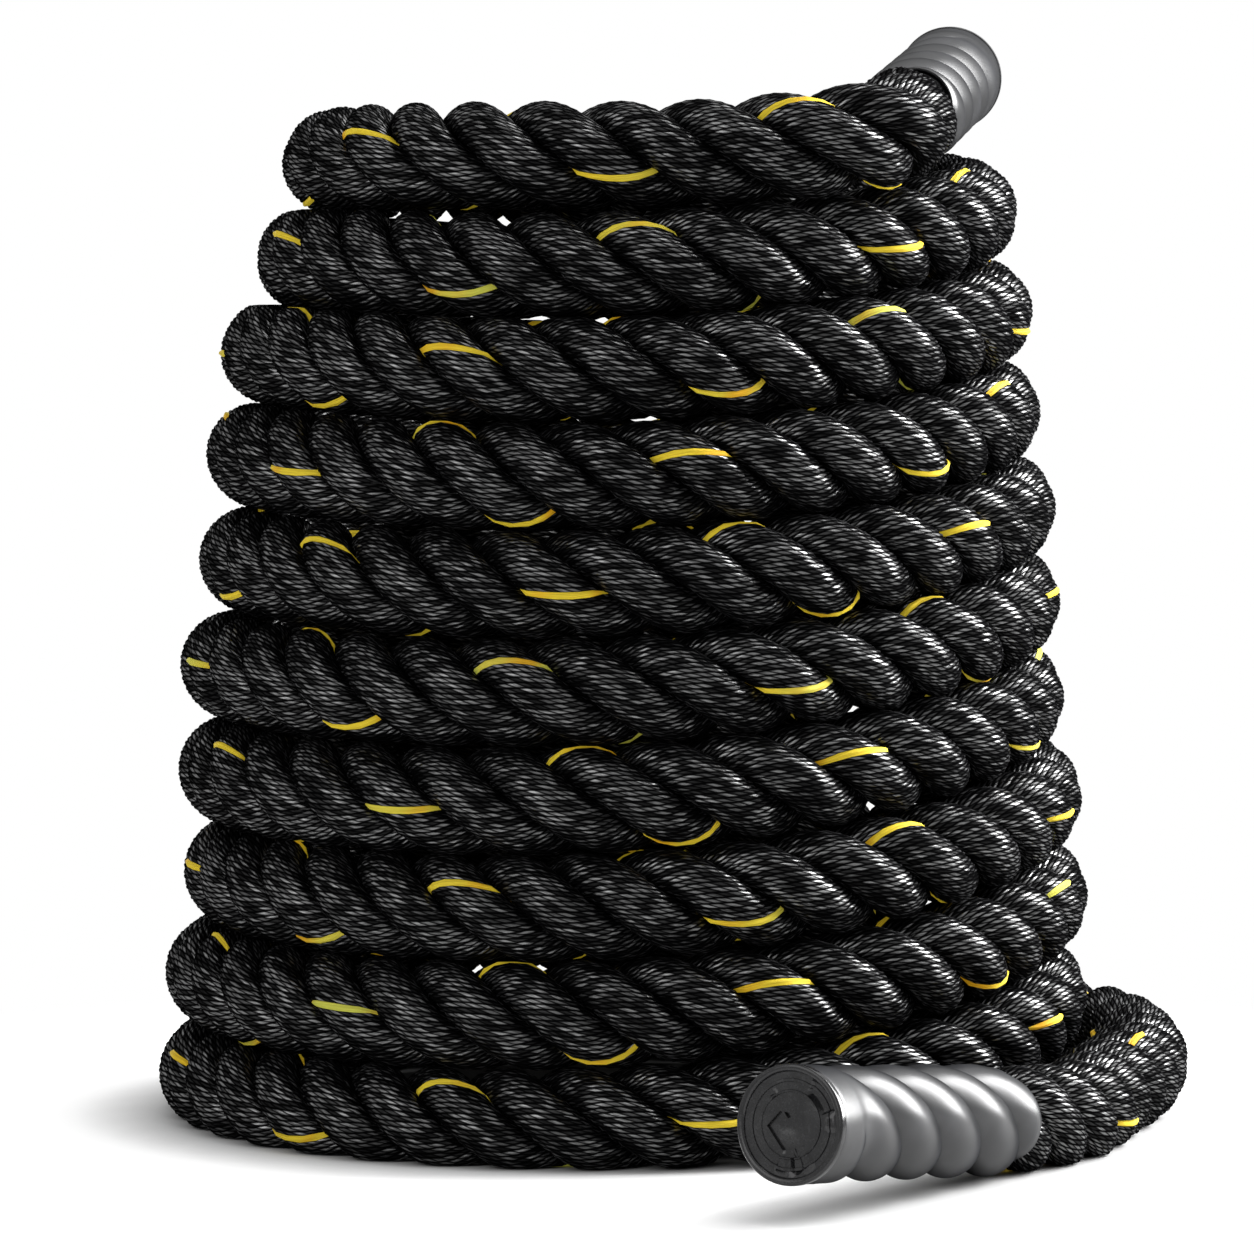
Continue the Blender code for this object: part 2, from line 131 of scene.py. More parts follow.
class Wire:
    """One output of a shader node, so that shader maths reads as Python expressions."""

    __add__, __radd__ = operator_method("ADD"), operator_method("ADD", swapped=True)
    __sub__, __rsub__ = operator_method("SUBTRACT"), operator_method("SUBTRACT", swapped=True)
    __mul__, __rmul__ = operator_method("MULTIPLY"), operator_method("MULTIPLY", swapped=True)
    __truediv__ = operator_method("DIVIDE")
    __pow__ = operator_method("POWER")

    def __init__(self, nodes: Nodes, socket: bpy.types.NodeSocket) -> None:
        """Keeps the socket and the nodes it belongs to."""
        self.nodes = nodes
        self.socket = socket

    def maths(self, operation: str, *values: Wire | float) -> Wire:
        """Adds a Math node.

        Args:
            operation: the Math node's operation.
            values: its inputs in order, as wires or numbers.

        Returns:
            The node's result.
        """
        return self.nodes.node("ShaderNodeMath", {"operation": operation}, dict(enumerate(values))).out("Value")

    def floor(self) -> Wire:
        """The whole part."""
        return self.maths("FLOOR", self)

    def fract(self) -> Wire:
        """The part after the point."""
        return self.maths("FRACT", self)

    def wave(self) -> Wire:
        """A sine wave from 0 to 1 with one period for each whole number."""
        return self.maths("SINE", self * math.tau) * 0.5 + 0.5

    def absolute(self) -> Wire:
        """The value without its sign."""
        return self.maths("ABSOLUTE", self)

    def ramp(self, low: float, high: float, start: float = 0.0, end: float = 1.0) -> Wire:
        """Maps low..high to start..end smoothly and holds it there outside."""
        settings = {"interpolation_type": "SMOOTHSTEP"}
        limits = {"Value": self, 1: low, 2: high, 3: start, 4: end}
        return self.nodes.node("ShaderNodeMapRange", settings, limits).out("Result")


class BuiltNode:
    """A shader node whose outputs are read as wires."""

    def __init__(self, nodes: Nodes, node: bpy.types.Node) -> None:
        """Keeps the node."""
        self.nodes = nodes
        self.node = node

    def out(self, name: str | int) -> Wire:
        """One of the node's outputs, by name or number."""
        return Wire(self.nodes, self.node.outputs[name])


class Nodes:
    """A node tree, built by short calls."""

    def __init__(self, tree: bpy.types.NodeTree) -> None:
        """Keeps the tree."""
        self.tree = tree

    def node(self, kind: str, settings: dict, values: dict) -> BuiltNode:
        """Adds a node.

        Args:
            kind: the node's type.
            settings: its properties, which are set first.
            values: numbers, colours or wires for its inputs, by name or number.

        Returns:
            The node, with its outputs as wires.
        """
        node = self.tree.nodes.new(kind)
        for key, value in settings.items():
            setattr(node, key, value)
        for key, value in values.items():
            self.feed(node.inputs[key], value)
        return BuiltNode(self, node)

    def built(self, name: str) -> BuiltNode:
        """A node that the tree already has."""
        return BuiltNode(self, self.tree.nodes[name])

    def feed(self, socket: bpy.types.NodeSocket, value: Wire | float | tuple) -> None:
        """Links a wire to an input, or sets the input's own value."""
        if isinstance(value, Wire):
            self.tree.links.new(value.socket, socket)
        elif isinstance(value, tuple) and socket.type == "RGBA":
            socket.default_value = (*value, 1.0)
        else:
            socket.default_value = value

    def blend(self, factor: Wire, first: Wire | tuple, second: Wire | tuple) -> Wire:
        """A colour between two, by a factor from 0 to 1."""
        return self.node("ShaderNodeMix", {"data_type": "RGBA"}, {0: factor, 6: first, 7: second}).out(2)

    def noise(self, vector: Wire, scale: float, detail: float) -> Wire:
        """Soft noise from 0 to 1 at a vector, with so many finer layers as its detail."""
        return self.node("ShaderNodeTexNoise", {}, {"Vector": vector, "Scale": scale, "Detail": detail}).out(0)

    def chance(self, vector: Wire) -> Wire:
        """A random value from 0 to 1 that is the same all over each whole cell of a vector."""
        return self.node("ShaderNodeTexWhiteNoise", {"noise_dimensions": "2D"}, {"Vector": vector}).out("Value")

    def place(self) -> Wire:
        """Object coordinates, which are metres in the object's own frame."""
        return self.node("ShaderNodeTexCoord", {}, {}).out("Object")

    def parts(self, vector: Wire) -> list[Wire]:
        """A vector's three values."""
        parts = self.node("ShaderNodeSeparateXYZ", {}, {0: vector})
        return [parts.out(number) for number in range(3)]

    def vector(self, x: Wire | float, y: Wire | float, z: Wire | float = 0.0) -> Wire:
        """A vector from three values."""
        return self.node("ShaderNodeCombineXYZ", {}, {0: x, 1: y, 2: z}).out(0)

    def seen(self) -> Wire:
        """1 for what the camera sees, straight or by gloss or through glass, else 0."""
        path = self.node("ShaderNodeLightPath", {}, {})
        seen = path.out("Is Camera Ray")
        for kind in ("Is Glossy Ray", "Is Transmission Ray"):
            seen = seen.maths("MAXIMUM", seen, path.out(kind))
        return seen


class Shading(Nodes):
    """A material's nodes, with its Principled shader."""

    def __init__(self, name: str) -> None:
        """Starts a material of that name.

        Args:
            name: the material's name.
        """
        self.material = bpy.data.materials.new(name)
        self.material.use_nodes = True
        super().__init__(self.material.node_tree)
        self.shader = self.built("Principled BSDF")

    def set(self, **values: Wire | float | tuple) -> None:
        """Sets the shader's own inputs; an underscore in a name stands for a space."""
        for key, value in values.items():
            self.feed(self.shader.node.inputs[key.replace("_", " ")], value)

    def lay(self) -> list[Wire]:
        """The rope's "lay" map: yarns counted across each strand, millimetres along the rope, and zero."""
        return self.parts(self.node("ShaderNodeUVMap", {"uv_map": "lay"}, {}).out("UV"))

    def mixed(self, shares: tuple[float, ...], *parts: Wire) -> Wire:
        """The sum of parts, each times its share."""
        total = parts[0] * shares[0]
        for part, share in zip(parts[1:], shares[1:]):
            total = total + part * share
        return total

    def sideways(self) -> Wire:
        """0 where the surface faces the viewer, up to 1 where it is seen from the side."""
        return self.node("ShaderNodeLayerWeight", {}, {"Blend": 0.5}).out("Facing")

    def relief(self, height: Wire, depth: float) -> None:
        """Feeds the shader's normal with a bump.

        Args:
            height: the bump's height, from 0 to 1.
            depth: the real height of 1, in metres.
        """
        self.set(Normal=self.node("ShaderNodeBump", {}, {"Height": height, "Distance": depth}).out("Normal"))


@dataclass(frozen=True)
class YarnFinish:
    """Black plied polyester yarn: near black, with painted highlights in the base colour on short plies across
    each yarn and painted shade in the grooves between yarns.

    Each ramp is the limits of a value and what it becomes at them.

    Args:
        ply_length: millimetres from one ply to the next along a yarn.
        ply_slant: plies that the pattern moves along from one side of a yarn to the other.
        ply_shift: plies that the pattern moves along from one yarn to the next.
        ply_drift: plies that the pattern strays by.
        drift_scales, fibre_scales: how fast a noise changes from yarn to yarn, or across one, and along it.
        relief_shares: shares of the plies, the yarn's crown and its fibres in the relief.
    """

    name: str = "black_yarn"
    dark: Triple = (0.0022, 0.0022, 0.0024)
    # Painted highlight: the colour of the bright plies on the yarn crowns
    light: Triple = (0.056, 0.056, 0.058)
    roughness: float = 0.55
    ply_length: float = 1.75
    ply_slant: float = 1.7
    ply_shift: float = 0.381
    ply_drift: float = 2.6
    drift_scales: Pair = (7.31, 0.045)
    fibre_scales: Pair = (1.4, 4.0)
    relief_shares: Triple = (0.7, 0.2, 0.1)
    ply_depth: float = 0.00090
    ply_ramp: Ramp = (0.16, 0.48, 1.0, 0.0)
    crown_ramp: Ramp = (0.14, 0.44, 1.0, 0.0)
    chance_ramp: Ramp = (0.15, 0.95, 0.06, 1.0)
    fibre_ramp: Ramp = (0.3, 0.6, 0.3, 1.0)
    gloss_ramp: Ramp = (0.40, 0.90, 1.0, 0.12)
    gloss_roughness: float = 0.28
    gloss_index: float = 2.3

    def material(self) -> bpy.types.Material:
        """Builds the material."""
        shading = Shading(self.name)
        yarns, along, _ = shading.lay()
        row = yarns.floor()
        across = yarns.fract()
        by_row, by_length = self.drift_scales
        drift = shading.noise(shading.vector(row * by_row, along * by_length), 1.0, 1.0)
        ply = along / self.ply_length - across * self.ply_slant + row * self.ply_shift + drift * self.ply_drift
        chance = shading.chance(shading.vector(row, ply.floor()))
        round_ply = (ply.fract() - 0.5).absolute().ramp(*self.ply_ramp)
        crown = (across - 0.5).absolute().ramp(*self.crown_ramp)
        by_width, by_ply = self.fibre_scales
        fibre = shading.noise(shading.vector(ply * by_ply, across * by_width, row), 1.0, 2.0)
        # lit marks the ply crowns: it paints highlights into the base colour, with painted shade in the
        # grooves, and also weights the coat's real gloss
        lit = round_ply * crown * chance.ramp(*self.chance_ramp) * fibre.ramp(*self.fibre_ramp)
        shading.set(
            Base_Color=shading.blend(lit, self.dark, self.light),
            Roughness=self.roughness,
            Specular_IOR_Level=0.0,
            Coat_Weight=lit * shading.sideways().ramp(*self.gloss_ramp),
            Coat_Roughness=self.gloss_roughness,
            Coat_IOR=self.gloss_index,
        )
        shading.relief(shading.mixed(self.relief_shares, round_ply * crown, crown, fibre), self.ply_depth)
        return shading.material


@dataclass(frozen=True)
class TracerFinish:
    """The flat tracer yarn: long fibres, lemon to orange yellow from dash to dash, with painted shade between
    the fibres and a painted glow that keeps it vivid in shade.

    Args:
        dye_place, wear_place: how fast each noise changes along the yarn, and where it is cut across.
        fibre_scales: how fast the fibres' noise changes across the yarn and along it.
    """

    name: str = "tracer_yarn"
    orange: Triple = (0.84, 0.40, 0.010)
    yellow: Triple = (0.90, 0.68, 0.042)
    lemon: Triple = (0.66, 0.68, 0.10)
    # Painted shade: the darker colour between the fibres
    painted_shade_between_fibres: Triple = (0.30, 0.15, 0.008)
    roughness: float = 0.50
    fibre_roughness: float = 0.15
    fibre_depth: float = 0.00025
    gloss: float = 0.15
    # Painted light: a glow in the tracer's own colour, though it is no lamp
    glow: float = 0.20
    dye_place: Pair = (0.017, 3.7)
    wear_place: Pair = (0.11, 9.2)
    fibre_scales: Pair = (16.0, 0.10)
    lemon_ramp: Pair = (0.52, 0.66)
    orange_ramp: Ramp = (0.50, 0.68, 0.0, 0.85)
    painted_shade_ramp: Ramp = (0.30, 0.62, 0.45, 0.0)

    def material(self) -> bpy.types.Material:
        """Builds the material."""
        shading = Shading(self.name)
        yarns, along, _ = shading.lay()
        dye, worn = (
            shading.noise(shading.vector(along * scale, cut), 1.0, 1.0)
            for scale, cut in (self.dye_place, self.wear_place)
        )
        by_width, by_length = self.fibre_scales
        fibre = shading.noise(shading.vector(yarns * by_width, along * by_length), 1.0, 2.0)
        body = shading.blend(dye.ramp(*self.lemon_ramp), self.yellow, self.lemon)
        body = shading.blend(worn.ramp(*self.orange_ramp), body, self.orange)
        # Painted shade between the fibres
        colour = shading.blend(fibre.ramp(*self.painted_shade_ramp), body, self.painted_shade_between_fibres)
        shading.set(
            Base_Color=colour,
            Roughness=self.roughness + self.fibre_roughness * fibre,
            Specular_IOR_Level=self.gloss,
            # Painted glow, so the tracer stays vivid in shade
            Emission_Color=colour,
            Emission_Strength=self.glow,
        )
        shading.relief(fibre, self.fibre_depth)
        return shading.material


@dataclass(frozen=True)
class BundleFinish:
    """The cut strands inside the grips: black yarn, streaked by a noise of one scale and detail."""

    name: str = "strand_bundle"
    dark: Triple = (0.006, 0.006, 0.0065)
    light: Triple = (0.055, 0.055, 0.058)
    streaks: Pair = (1400.0, 3.0)
    streak_ramp: Pair = (0.45, 0.7)
    roughness_ramp: Ramp = (0.3, 0.7, 0.7, 0.5)
    streak_depth: float = 0.0002

    def material(self) -> bpy.types.Material:
        """Builds the material."""
        shading = Shading(self.name)
        streak = shading.noise(shading.place(), *self.streaks)
        shading.set(
            Base_Color=shading.blend(streak.ramp(*self.streak_ramp), self.dark, self.light),
            Roughness=streak.ramp(*self.roughness_ramp),
        )
        shading.relief(streak, self.streak_depth)
        return shading.material


@dataclass(frozen=True)
class SleeveFinish:
    """Satin heat-shrink plastic, dark grey, a little uneven from the heat.

    Args:
        cloud, ripple, grain: the scale and detail of each noise.
        relief_shares: the share of each in the relief.
    """

    name: str = "satin_shrink_sleeve"
    dark: Triple = (0.013, 0.0133, 0.0145)
    light: Triple = (0.027, 0.0275, 0.030)
    roughness: float = 0.5
    gloss_ramp: Ramp = (0.45, 0.95, 0.88, 0.20)
    gloss_roughness: float = 0.34
    gloss_index: float = 1.5
    unevenness: float = 0.0006
    cloud: Pair = (55.0, 2.0)
    ripple: Pair = (190.0, 1.0)
    grain: Pair = (1500.0, 2.0)
    relief_shares: Triple = (0.7, 0.25, 0.05)
    cloud_ramp: Pair = (0.35, 0.7)

    def material(self) -> bpy.types.Material:
        """Builds the material."""
        shading = Shading(self.name)
        place = shading.place()
        cloud, ripple, grain = (shading.noise(place, *kind) for kind in (self.cloud, self.ripple, self.grain))
        shading.set(
            Base_Color=shading.blend(cloud.ramp(*self.cloud_ramp), self.dark, self.light),
            Roughness=self.roughness,
            Specular_IOR_Level=0.0,
            Coat_Weight=shading.sideways().ramp(*self.gloss_ramp),
            Coat_Roughness=self.gloss_roughness,
            Coat_IOR=self.gloss_index,
        )
        shading.relief(shading.mixed(self.relief_shares, cloud, ripple, grain), self.unevenness)
        return shading.material


@dataclass(frozen=True)
class CapFinish:
    """Glossy black moulded plastic with soft flow waves and fine scuffs.

    Args:
        waves, scuffs: the scale and detail of each noise.
        relief_shares: the share of each in the relief.
    """

    name: str = "gloss_cap"
    dark: Triple = (0.007, 0.007, 0.008)
    light: Triple = (0.020, 0.020, 0.022)
    shine: float = 0.35
    unevenness: float = 0.0002
    waves: Pair = (150.0, 1.0)
    scuffs: Pair = (1100.0, 3.0)
    relief_shares: Pair = (0.9, 0.1)
    scuff_ramp: Pair = (0.5, 0.75)
    roughness_ramp: Ramp = (0.3, 0.75, 0.10, 0.20)
    scuff_roughness: float = 0.06

    def material(self) -> bpy.types.Material:
        """Builds the material."""
        shading = Shading(self.name)
        place = shading.place()
        wave, scuff = (shading.noise(place, *kind) for kind in (self.waves, self.scuffs))
        shading.set(
            Base_Color=shading.blend(scuff.ramp(*self.scuff_ramp), self.dark, self.light),
            Roughness=wave.ramp(*self.roughness_ramp) + scuff * self.scuff_roughness,
            Specular_IOR_Level=self.shine,
        )
        shading.relief(shading.mixed(self.relief_shares, wave, scuff), self.unevenness)
        return shading.material


@dataclass(frozen=True)
class TapeFinish:
    """Black binding tape with a fine woven face."""

    name: str = "binding_tape"
    dark: Triple = (0.014, 0.014, 0.015)
    light: Triple = (0.034, 0.034, 0.036)
    threads_per_metre: float = 900.0
    thread_depth: float = 0.0001
    roughness: float = 0.5
    thread_roughness: float = 0.15

    def material(self) -> bpy.types.Material:
        """Builds the material."""
        shading = Shading(self.name)
        x, _, z = shading.parts(shading.place())
        weave = (x * self.threads_per_metre).wave() * (z * self.threads_per_metre).wave()
        shading.set(
            Base_Color=shading.blend(weave, self.dark, self.light),
            Roughness=self.roughness + self.thread_roughness * weave,
        )
        shading.relief(weave, self.thread_depth)
        return shading.material


@dataclass(frozen=True)
class FloorFinish:
    """The white floor: real shade from the lamps, a painted shadow at the rope's foot, painted shade inside the
    coil, and plain white further out.

    Args:
        lift: glow that brings the matt floor near white; it is dimmed near the rope and left out inside the
            coil, which paints shade there.
        shade_reach: how far from the rope the painted shadow reaches.
        shade_power: how fast that painted shadow deepens towards the rope.
        coil_inside: distances from the coil's axis between which the painted shade inside the coil ends, under
            the first turn.
        white_from: distances from the middle of the object between which the floor becomes plain white.
    """

    name: str = "studio_floor"
    colour: Triple = (0.50, 0.50, 0.50)
    # Painted shade: the near-black floor inside the coil
    painted_shade_inside: Triple = (0.02, 0.02, 0.02)
    roughness: float = 0.9
    gloss: float = 0.05
    lift: float = 0.95
    shade_reach: float = 0.055
    shade_power: float = 2.3
    coil_inside: Pair = (0.132, 0.152)
    white_from: Pair = (0.27, 0.46)

    def material(self) -> bpy.types.Material:
        """Builds the material."""
        shading = Shading(self.name)
        place = shading.place()
        to_axis = {0: place, 1: (*COIL_AXIS, 0.0)}
        outside = shading.node("ShaderNodeVectorMath", {"operation": "DISTANCE"}, to_axis).out("Value")
        outside = outside.ramp(*self.coil_inside)
        # Painted shade: near-black floor colour inside the coil
        colour = shading.blend(outside, self.painted_shade_inside, self.colour)
        shading.set(Base_Color=colour, Roughness=self.roughness, Specular_IOR_Level=self.gloss)
        distance = shading.node("ShaderNodeVectorMath", {"operation": "LENGTH"}, {0: place}).out("Value")
        open_sky = shading.node("ShaderNodeAmbientOcclusion", {}, {"Distance": self.shade_reach}).out("AO")
        seen = shading.seen()
        # Painted shadow: the floor's glow fades with ambient occlusion near the rope and is left out inside the
        # coil
        strength = self.lift * open_sky**self.shade_power * outside * seen
        lift = shading.node("ShaderNodeEmission", {}, {"Color": WHITE, "Strength": strength}).out(0)
        white = shading.node("ShaderNodeEmission", {}, {"Color": WHITE, "Strength": 1.0}).out(0)
        near = shading.node("ShaderNodeAddShader", {}, {0: shading.shader.out(0), 1: lift}).out(0)
        factor = distance.ramp(*self.white_from) * seen
        mix = shading.node("ShaderNodeMixShader", {}, {0: factor, 1: near, 2: white}).out(0)
        shading.feed(shading.built("Material Output").node.inputs["Surface"], mix)
        return shading.material


@dataclass(frozen=True)
class Grip:
    """Where one grip stands and how its lobes are turned.

    Args:
        name: "lower" or "upper".
        mouth: centre of its mouth.
        way_shares: direction from the mouth to the cap.
    """

    name: str
    mouth: Vector
    way_shares: Triple
    length: float = 0.133
    lay_length: float = 0.080
    rope_radius: float = 0.0165
    touch_gap: float = 0.0003
    straight: float = 0.038

    @property
    def way(self) -> Vector:
        """Unit direction from the mouth to the cap."""
        return Vector(self.way_shares).normalized()

    @property
    def placing(self) -> Matrix:
        """From the grip's own frame, mouth at zero and cap up, to the row frame."""
        turn = self.way.to_track_quat("Z", "Y").to_matrix().to_4x4()
        return Matrix.Translation(self.mouth) @ turn

    @property
    def rope_end(self) -> Vector:
        """Where the rope meets the grip."""
        return self.mouth - self.way * self.touch_gap

    @property
    def straight_start(self) -> Vector:
        """Where the rope's straight stretch into the grip begins."""
        return self.rope_end - self.way * self.straight

    def twist(self, along: float) -> float:
        """Turn of the lobes at a distance into the grip."""
        return math.tau * along / self.lay_length


@dataclass
class RopeRoute:
    """The rope's centre line: the free run on the floor, the coil, and the bend into the upper grip."""

    rope_diameter: float = 0.038
    floor_flat_depth: float = 0.0038
    touch_gap: float = 0.0003
    axis: Pair = COIL_AXIS
    coil_turns: float = 9.25
    lead_in_turns: float = 0.25
    first_turn_radius: float = 0.150
    turn_rise_share: float = 0.955
    taper_share: float = 0.152
    top_draw_in_share: float = 0.133
    top_draw_in_power: int = 5
    sway_shares: tuple[float, ...] = (-0.02, -0.02, 0.09, -0.02, -0.07, 0.03, 0.00, 0.00, 0.15, 0.13, 0.10)
    low_climb_shares: tuple[float, ...] = (0.0, 0.02, 0.77, 1.0)
    high_climb_shares: tuple[float, ...] = (0.15, 0.02, 0.55, 0.90)
    last_low_turn: int = 2
    first_high_turn: int = 7
    sinking_from: float = 7.5
    sink_shares: tuple[float, ...] = (0.0, 0.0, 0.08, 0.03, 0.0, 0.04, 0.12, 0.0)
    sleeve_crest: float = 0.0188
    lower_mouth_bearing: float = -54.3
    lower_mouth_beyond_share: float = 1.597
    lower_way_shares: Triple = (-0.527, -0.844, 0.102)
    upper_mouth_bearing: float = -25.9
    upper_mouth_beyond_share: float = 0.073
    upper_mouth_lift_share: float = 0.40
    upper_way_shares: Triple = (0.161, 0.977, 0.137)
    floor_route_shares: tuple[Triple, ...] = (
        (-22.2, 0.830, 0.011),
        (-7.1, 0.860, 0.021),
        (7.8, 1.000, 0.053),
        (22.8, 1.150, 0.063),
        (38.2, 1.090, 0.042),
        (54.2, 0.727, 0.016),
    )
    bend_points: int = 24
    points_per_turn: int = 360
    look_back: float = 0.01
    straight_share: float = 2.0
    beyond_coil: float = 1.0

    @property
    def lying_height(self) -> float:
        """Height of the rope's centre where it lies on the floor."""
        return self.rope_diameter / 2 - self.floor_flat_depth

    @property
    def turn_rise(self) -> float:
        """Rise of one turn of the coil."""
        return self.rope_diameter * self.turn_rise_share

    def seen_from_axis(self, bearing: float, radius: float, height: float) -> Vector:
        """A place at a bearing in degrees from +X, a distance from the coil's axis and a height."""
        angle = math.radians(bearing)
        x = self.axis[0] + radius * math.cos(angle)
        return Vector((x, self.axis[1] + radius * math.sin(angle), height))

    def smooth_value(self, values: list[float] | tuple[float, ...], position: float) -> float:
        """The value at a position along evenly spaced values, on a Catmull-Rom curve through them."""
        last = len(values) - 1
        position = min(max(position, 0.0), float(last))
        index = min(int(position), last - 1)
        before, start = values[max(index - 1, 0)], values[index]
        end, after = values[index + 1], values[min(index + 2, last)]
        u = position - index
        return 0.5 * (
            2 * start
            + (end - before) * u
            + (2 * before - 5 * start + 4 * end - after) * u**2
            + (3 * start - before - 3 * end + after) * u**3
        )

    def station_heights(self) -> list[float]:
        """Heights of the centre line at each quarter turn, from the lead-in's start."""
        heights = []
        for station in range(-round(self.lead_in_turns * QUARTERS), round(self.coil_turns * QUARTERS) + 1):
            turn, quarter = divmod(station, QUARTERS)
            span = self.first_high_turn - self.last_low_turn
            high = smooth_step((turn - self.last_low_turn) / span)
            climbed = (1 - high) * self.low_climb_shares[quarter] + high * self.high_climb_shares[quarter]
            rise = (turn + climbed) * self.turn_rise if station >= 0 else 0.0
            heights.append(self.lying_height + rise)
        return heights

    def coil_radius(self, turns: float) -> float:
        """Radius of the coil's centre line at a count of turns."""
        climbed = max(0.0, turns) / self.coil_turns
        drawn_in = self.taper_share * climbed + self.top_draw_in_share * climbed**self.top_draw_in_power
        return self.first_turn_radius * (1 - drawn_in)

    def coil_point(self, turns: float) -> Vector:
        """Centre of the rope at a count of turns from the left of the first turn."""
        angle = math.pi + math.tau * turns
        radius = self.coil_radius(turns)
        sway = self.rope_diameter * self.smooth_value(self.sway_shares, turns)
        height = self.smooth_value(self.heights, (turns + self.lead_in_turns) * QUARTERS)
        sunk_share = self.smooth_value(self.sink_shares, (turns - self.sinking_from) * QUARTERS)
        height -= self.rope_diameter * sunk_share
        x = self.axis[0] + sway + radius * math.cos(angle)
        return Vector((x, self.axis[1] + radius * math.sin(angle), height))

    def bend_through(self, route: list[Vector], start_way: Vector, end_way: Vector) -> list[Vector]:
        """Dense points on one smooth curve through a route.

        Args:
            route: the points it goes through.
            start_way: unit direction in which it leaves the first.
            end_way: unit direction in which it arrives at the last.

        Returns:
            The points, first and last included.
        """
        count = len(route)
        tangents = [(route[min(i + 1, count - 1)] - route[max(i - 1, 0)]) / 2 for i in range(count)]
        tangents[0] = start_way * (route[1] - route[0]).length
        tangents[-1] = end_way * (route[-1] - route[-2]).length
        points = []
        for i in range(count - 1):
            for u in (k / self.bend_points for k in range(self.bend_points)):
                points.append(
                    (2 * u**3 - 3 * u**2 + 1) * route[i]
                    + (u**3 - 2 * u**2 + u) * tangents[i]
                    + (3 * u**2 - 2 * u**3) * route[i + 1]
                    + (u**3 - u**2) * tangents[i + 1]
                )
        return [*points, route[-1]]

    def __post_init__(self) -> None:
        """Works out the grips' places and the line."""
        self.heights = self.station_heights()
        lower_radius = self.first_turn_radius + self.rope_diameter * self.lower_mouth_beyond_share
        lower = self.seen_from_axis(self.lower_mouth_bearing, lower_radius, self.sleeve_crest)
        self.lower_grip = Grip("lower", lower, self.lower_way_shares)
        top = self.coil_point(self.coil_turns)
        upper_radius = self.coil_radius(self.coil_turns)
        upper_radius += self.rope_diameter * self.upper_mouth_beyond_share
        upper_height = top.z + self.rope_diameter * self.upper_mouth_lift_share
        upper = self.seen_from_axis(self.upper_mouth_bearing, upper_radius, upper_height)
        self.upper_grip = Grip("upper", upper, self.upper_way_shares)

    def line(self) -> tuple[np.ndarray, np.ndarray]:
        """The whole centre line, dense and from grip to grip.

        Returns:
            Its points, and beside each the turns of the coil at it, beyond its range where it is off the coil.
        """
        coil_start = self.coil_point(-self.lead_in_turns)
        straight_end = coil_start + Vector((self.straight_share * self.rope_diameter + self.touch_gap, 0, 0))
        route = [self.lower_grip.straight_start]
        for bearing, beyond, lift in self.floor_route_shares:
            radius = self.first_turn_radius + self.rope_diameter * beyond
            height = self.lying_height + self.rope_diameter * lift
            route.append(self.seen_from_axis(bearing, radius, height))
        route.append(straight_end)
        run = self.bend_through(route, -self.lower_grip.way, Vector((-1, 0, 0)))
        points = [self.lower_grip.rope_end, *run]
        turns = [-self.lead_in_turns - self.beyond_coil] * len(points)
        steps = round((self.coil_turns + self.lead_in_turns) * self.points_per_turn)
        for k in range(steps + 1):
            turned = -self.lead_in_turns + k / self.points_per_turn
            points.append(self.coil_point(turned))
            turns.append(turned)
        leaving = self.coil_point(self.coil_turns) - self.coil_point(self.coil_turns - self.look_back)
        ends = [points[-1], self.upper_grip.straight_start]
        bend = self.bend_through(ends, leaving.normalized(), self.upper_grip.way)[1:]
        points += [*bend, self.upper_grip.rope_end]
        turns += [self.coil_turns + self.beyond_coil] * (len(bend) + 1)
        return np.array([tuple(p) for p in points]), np.array(turns)


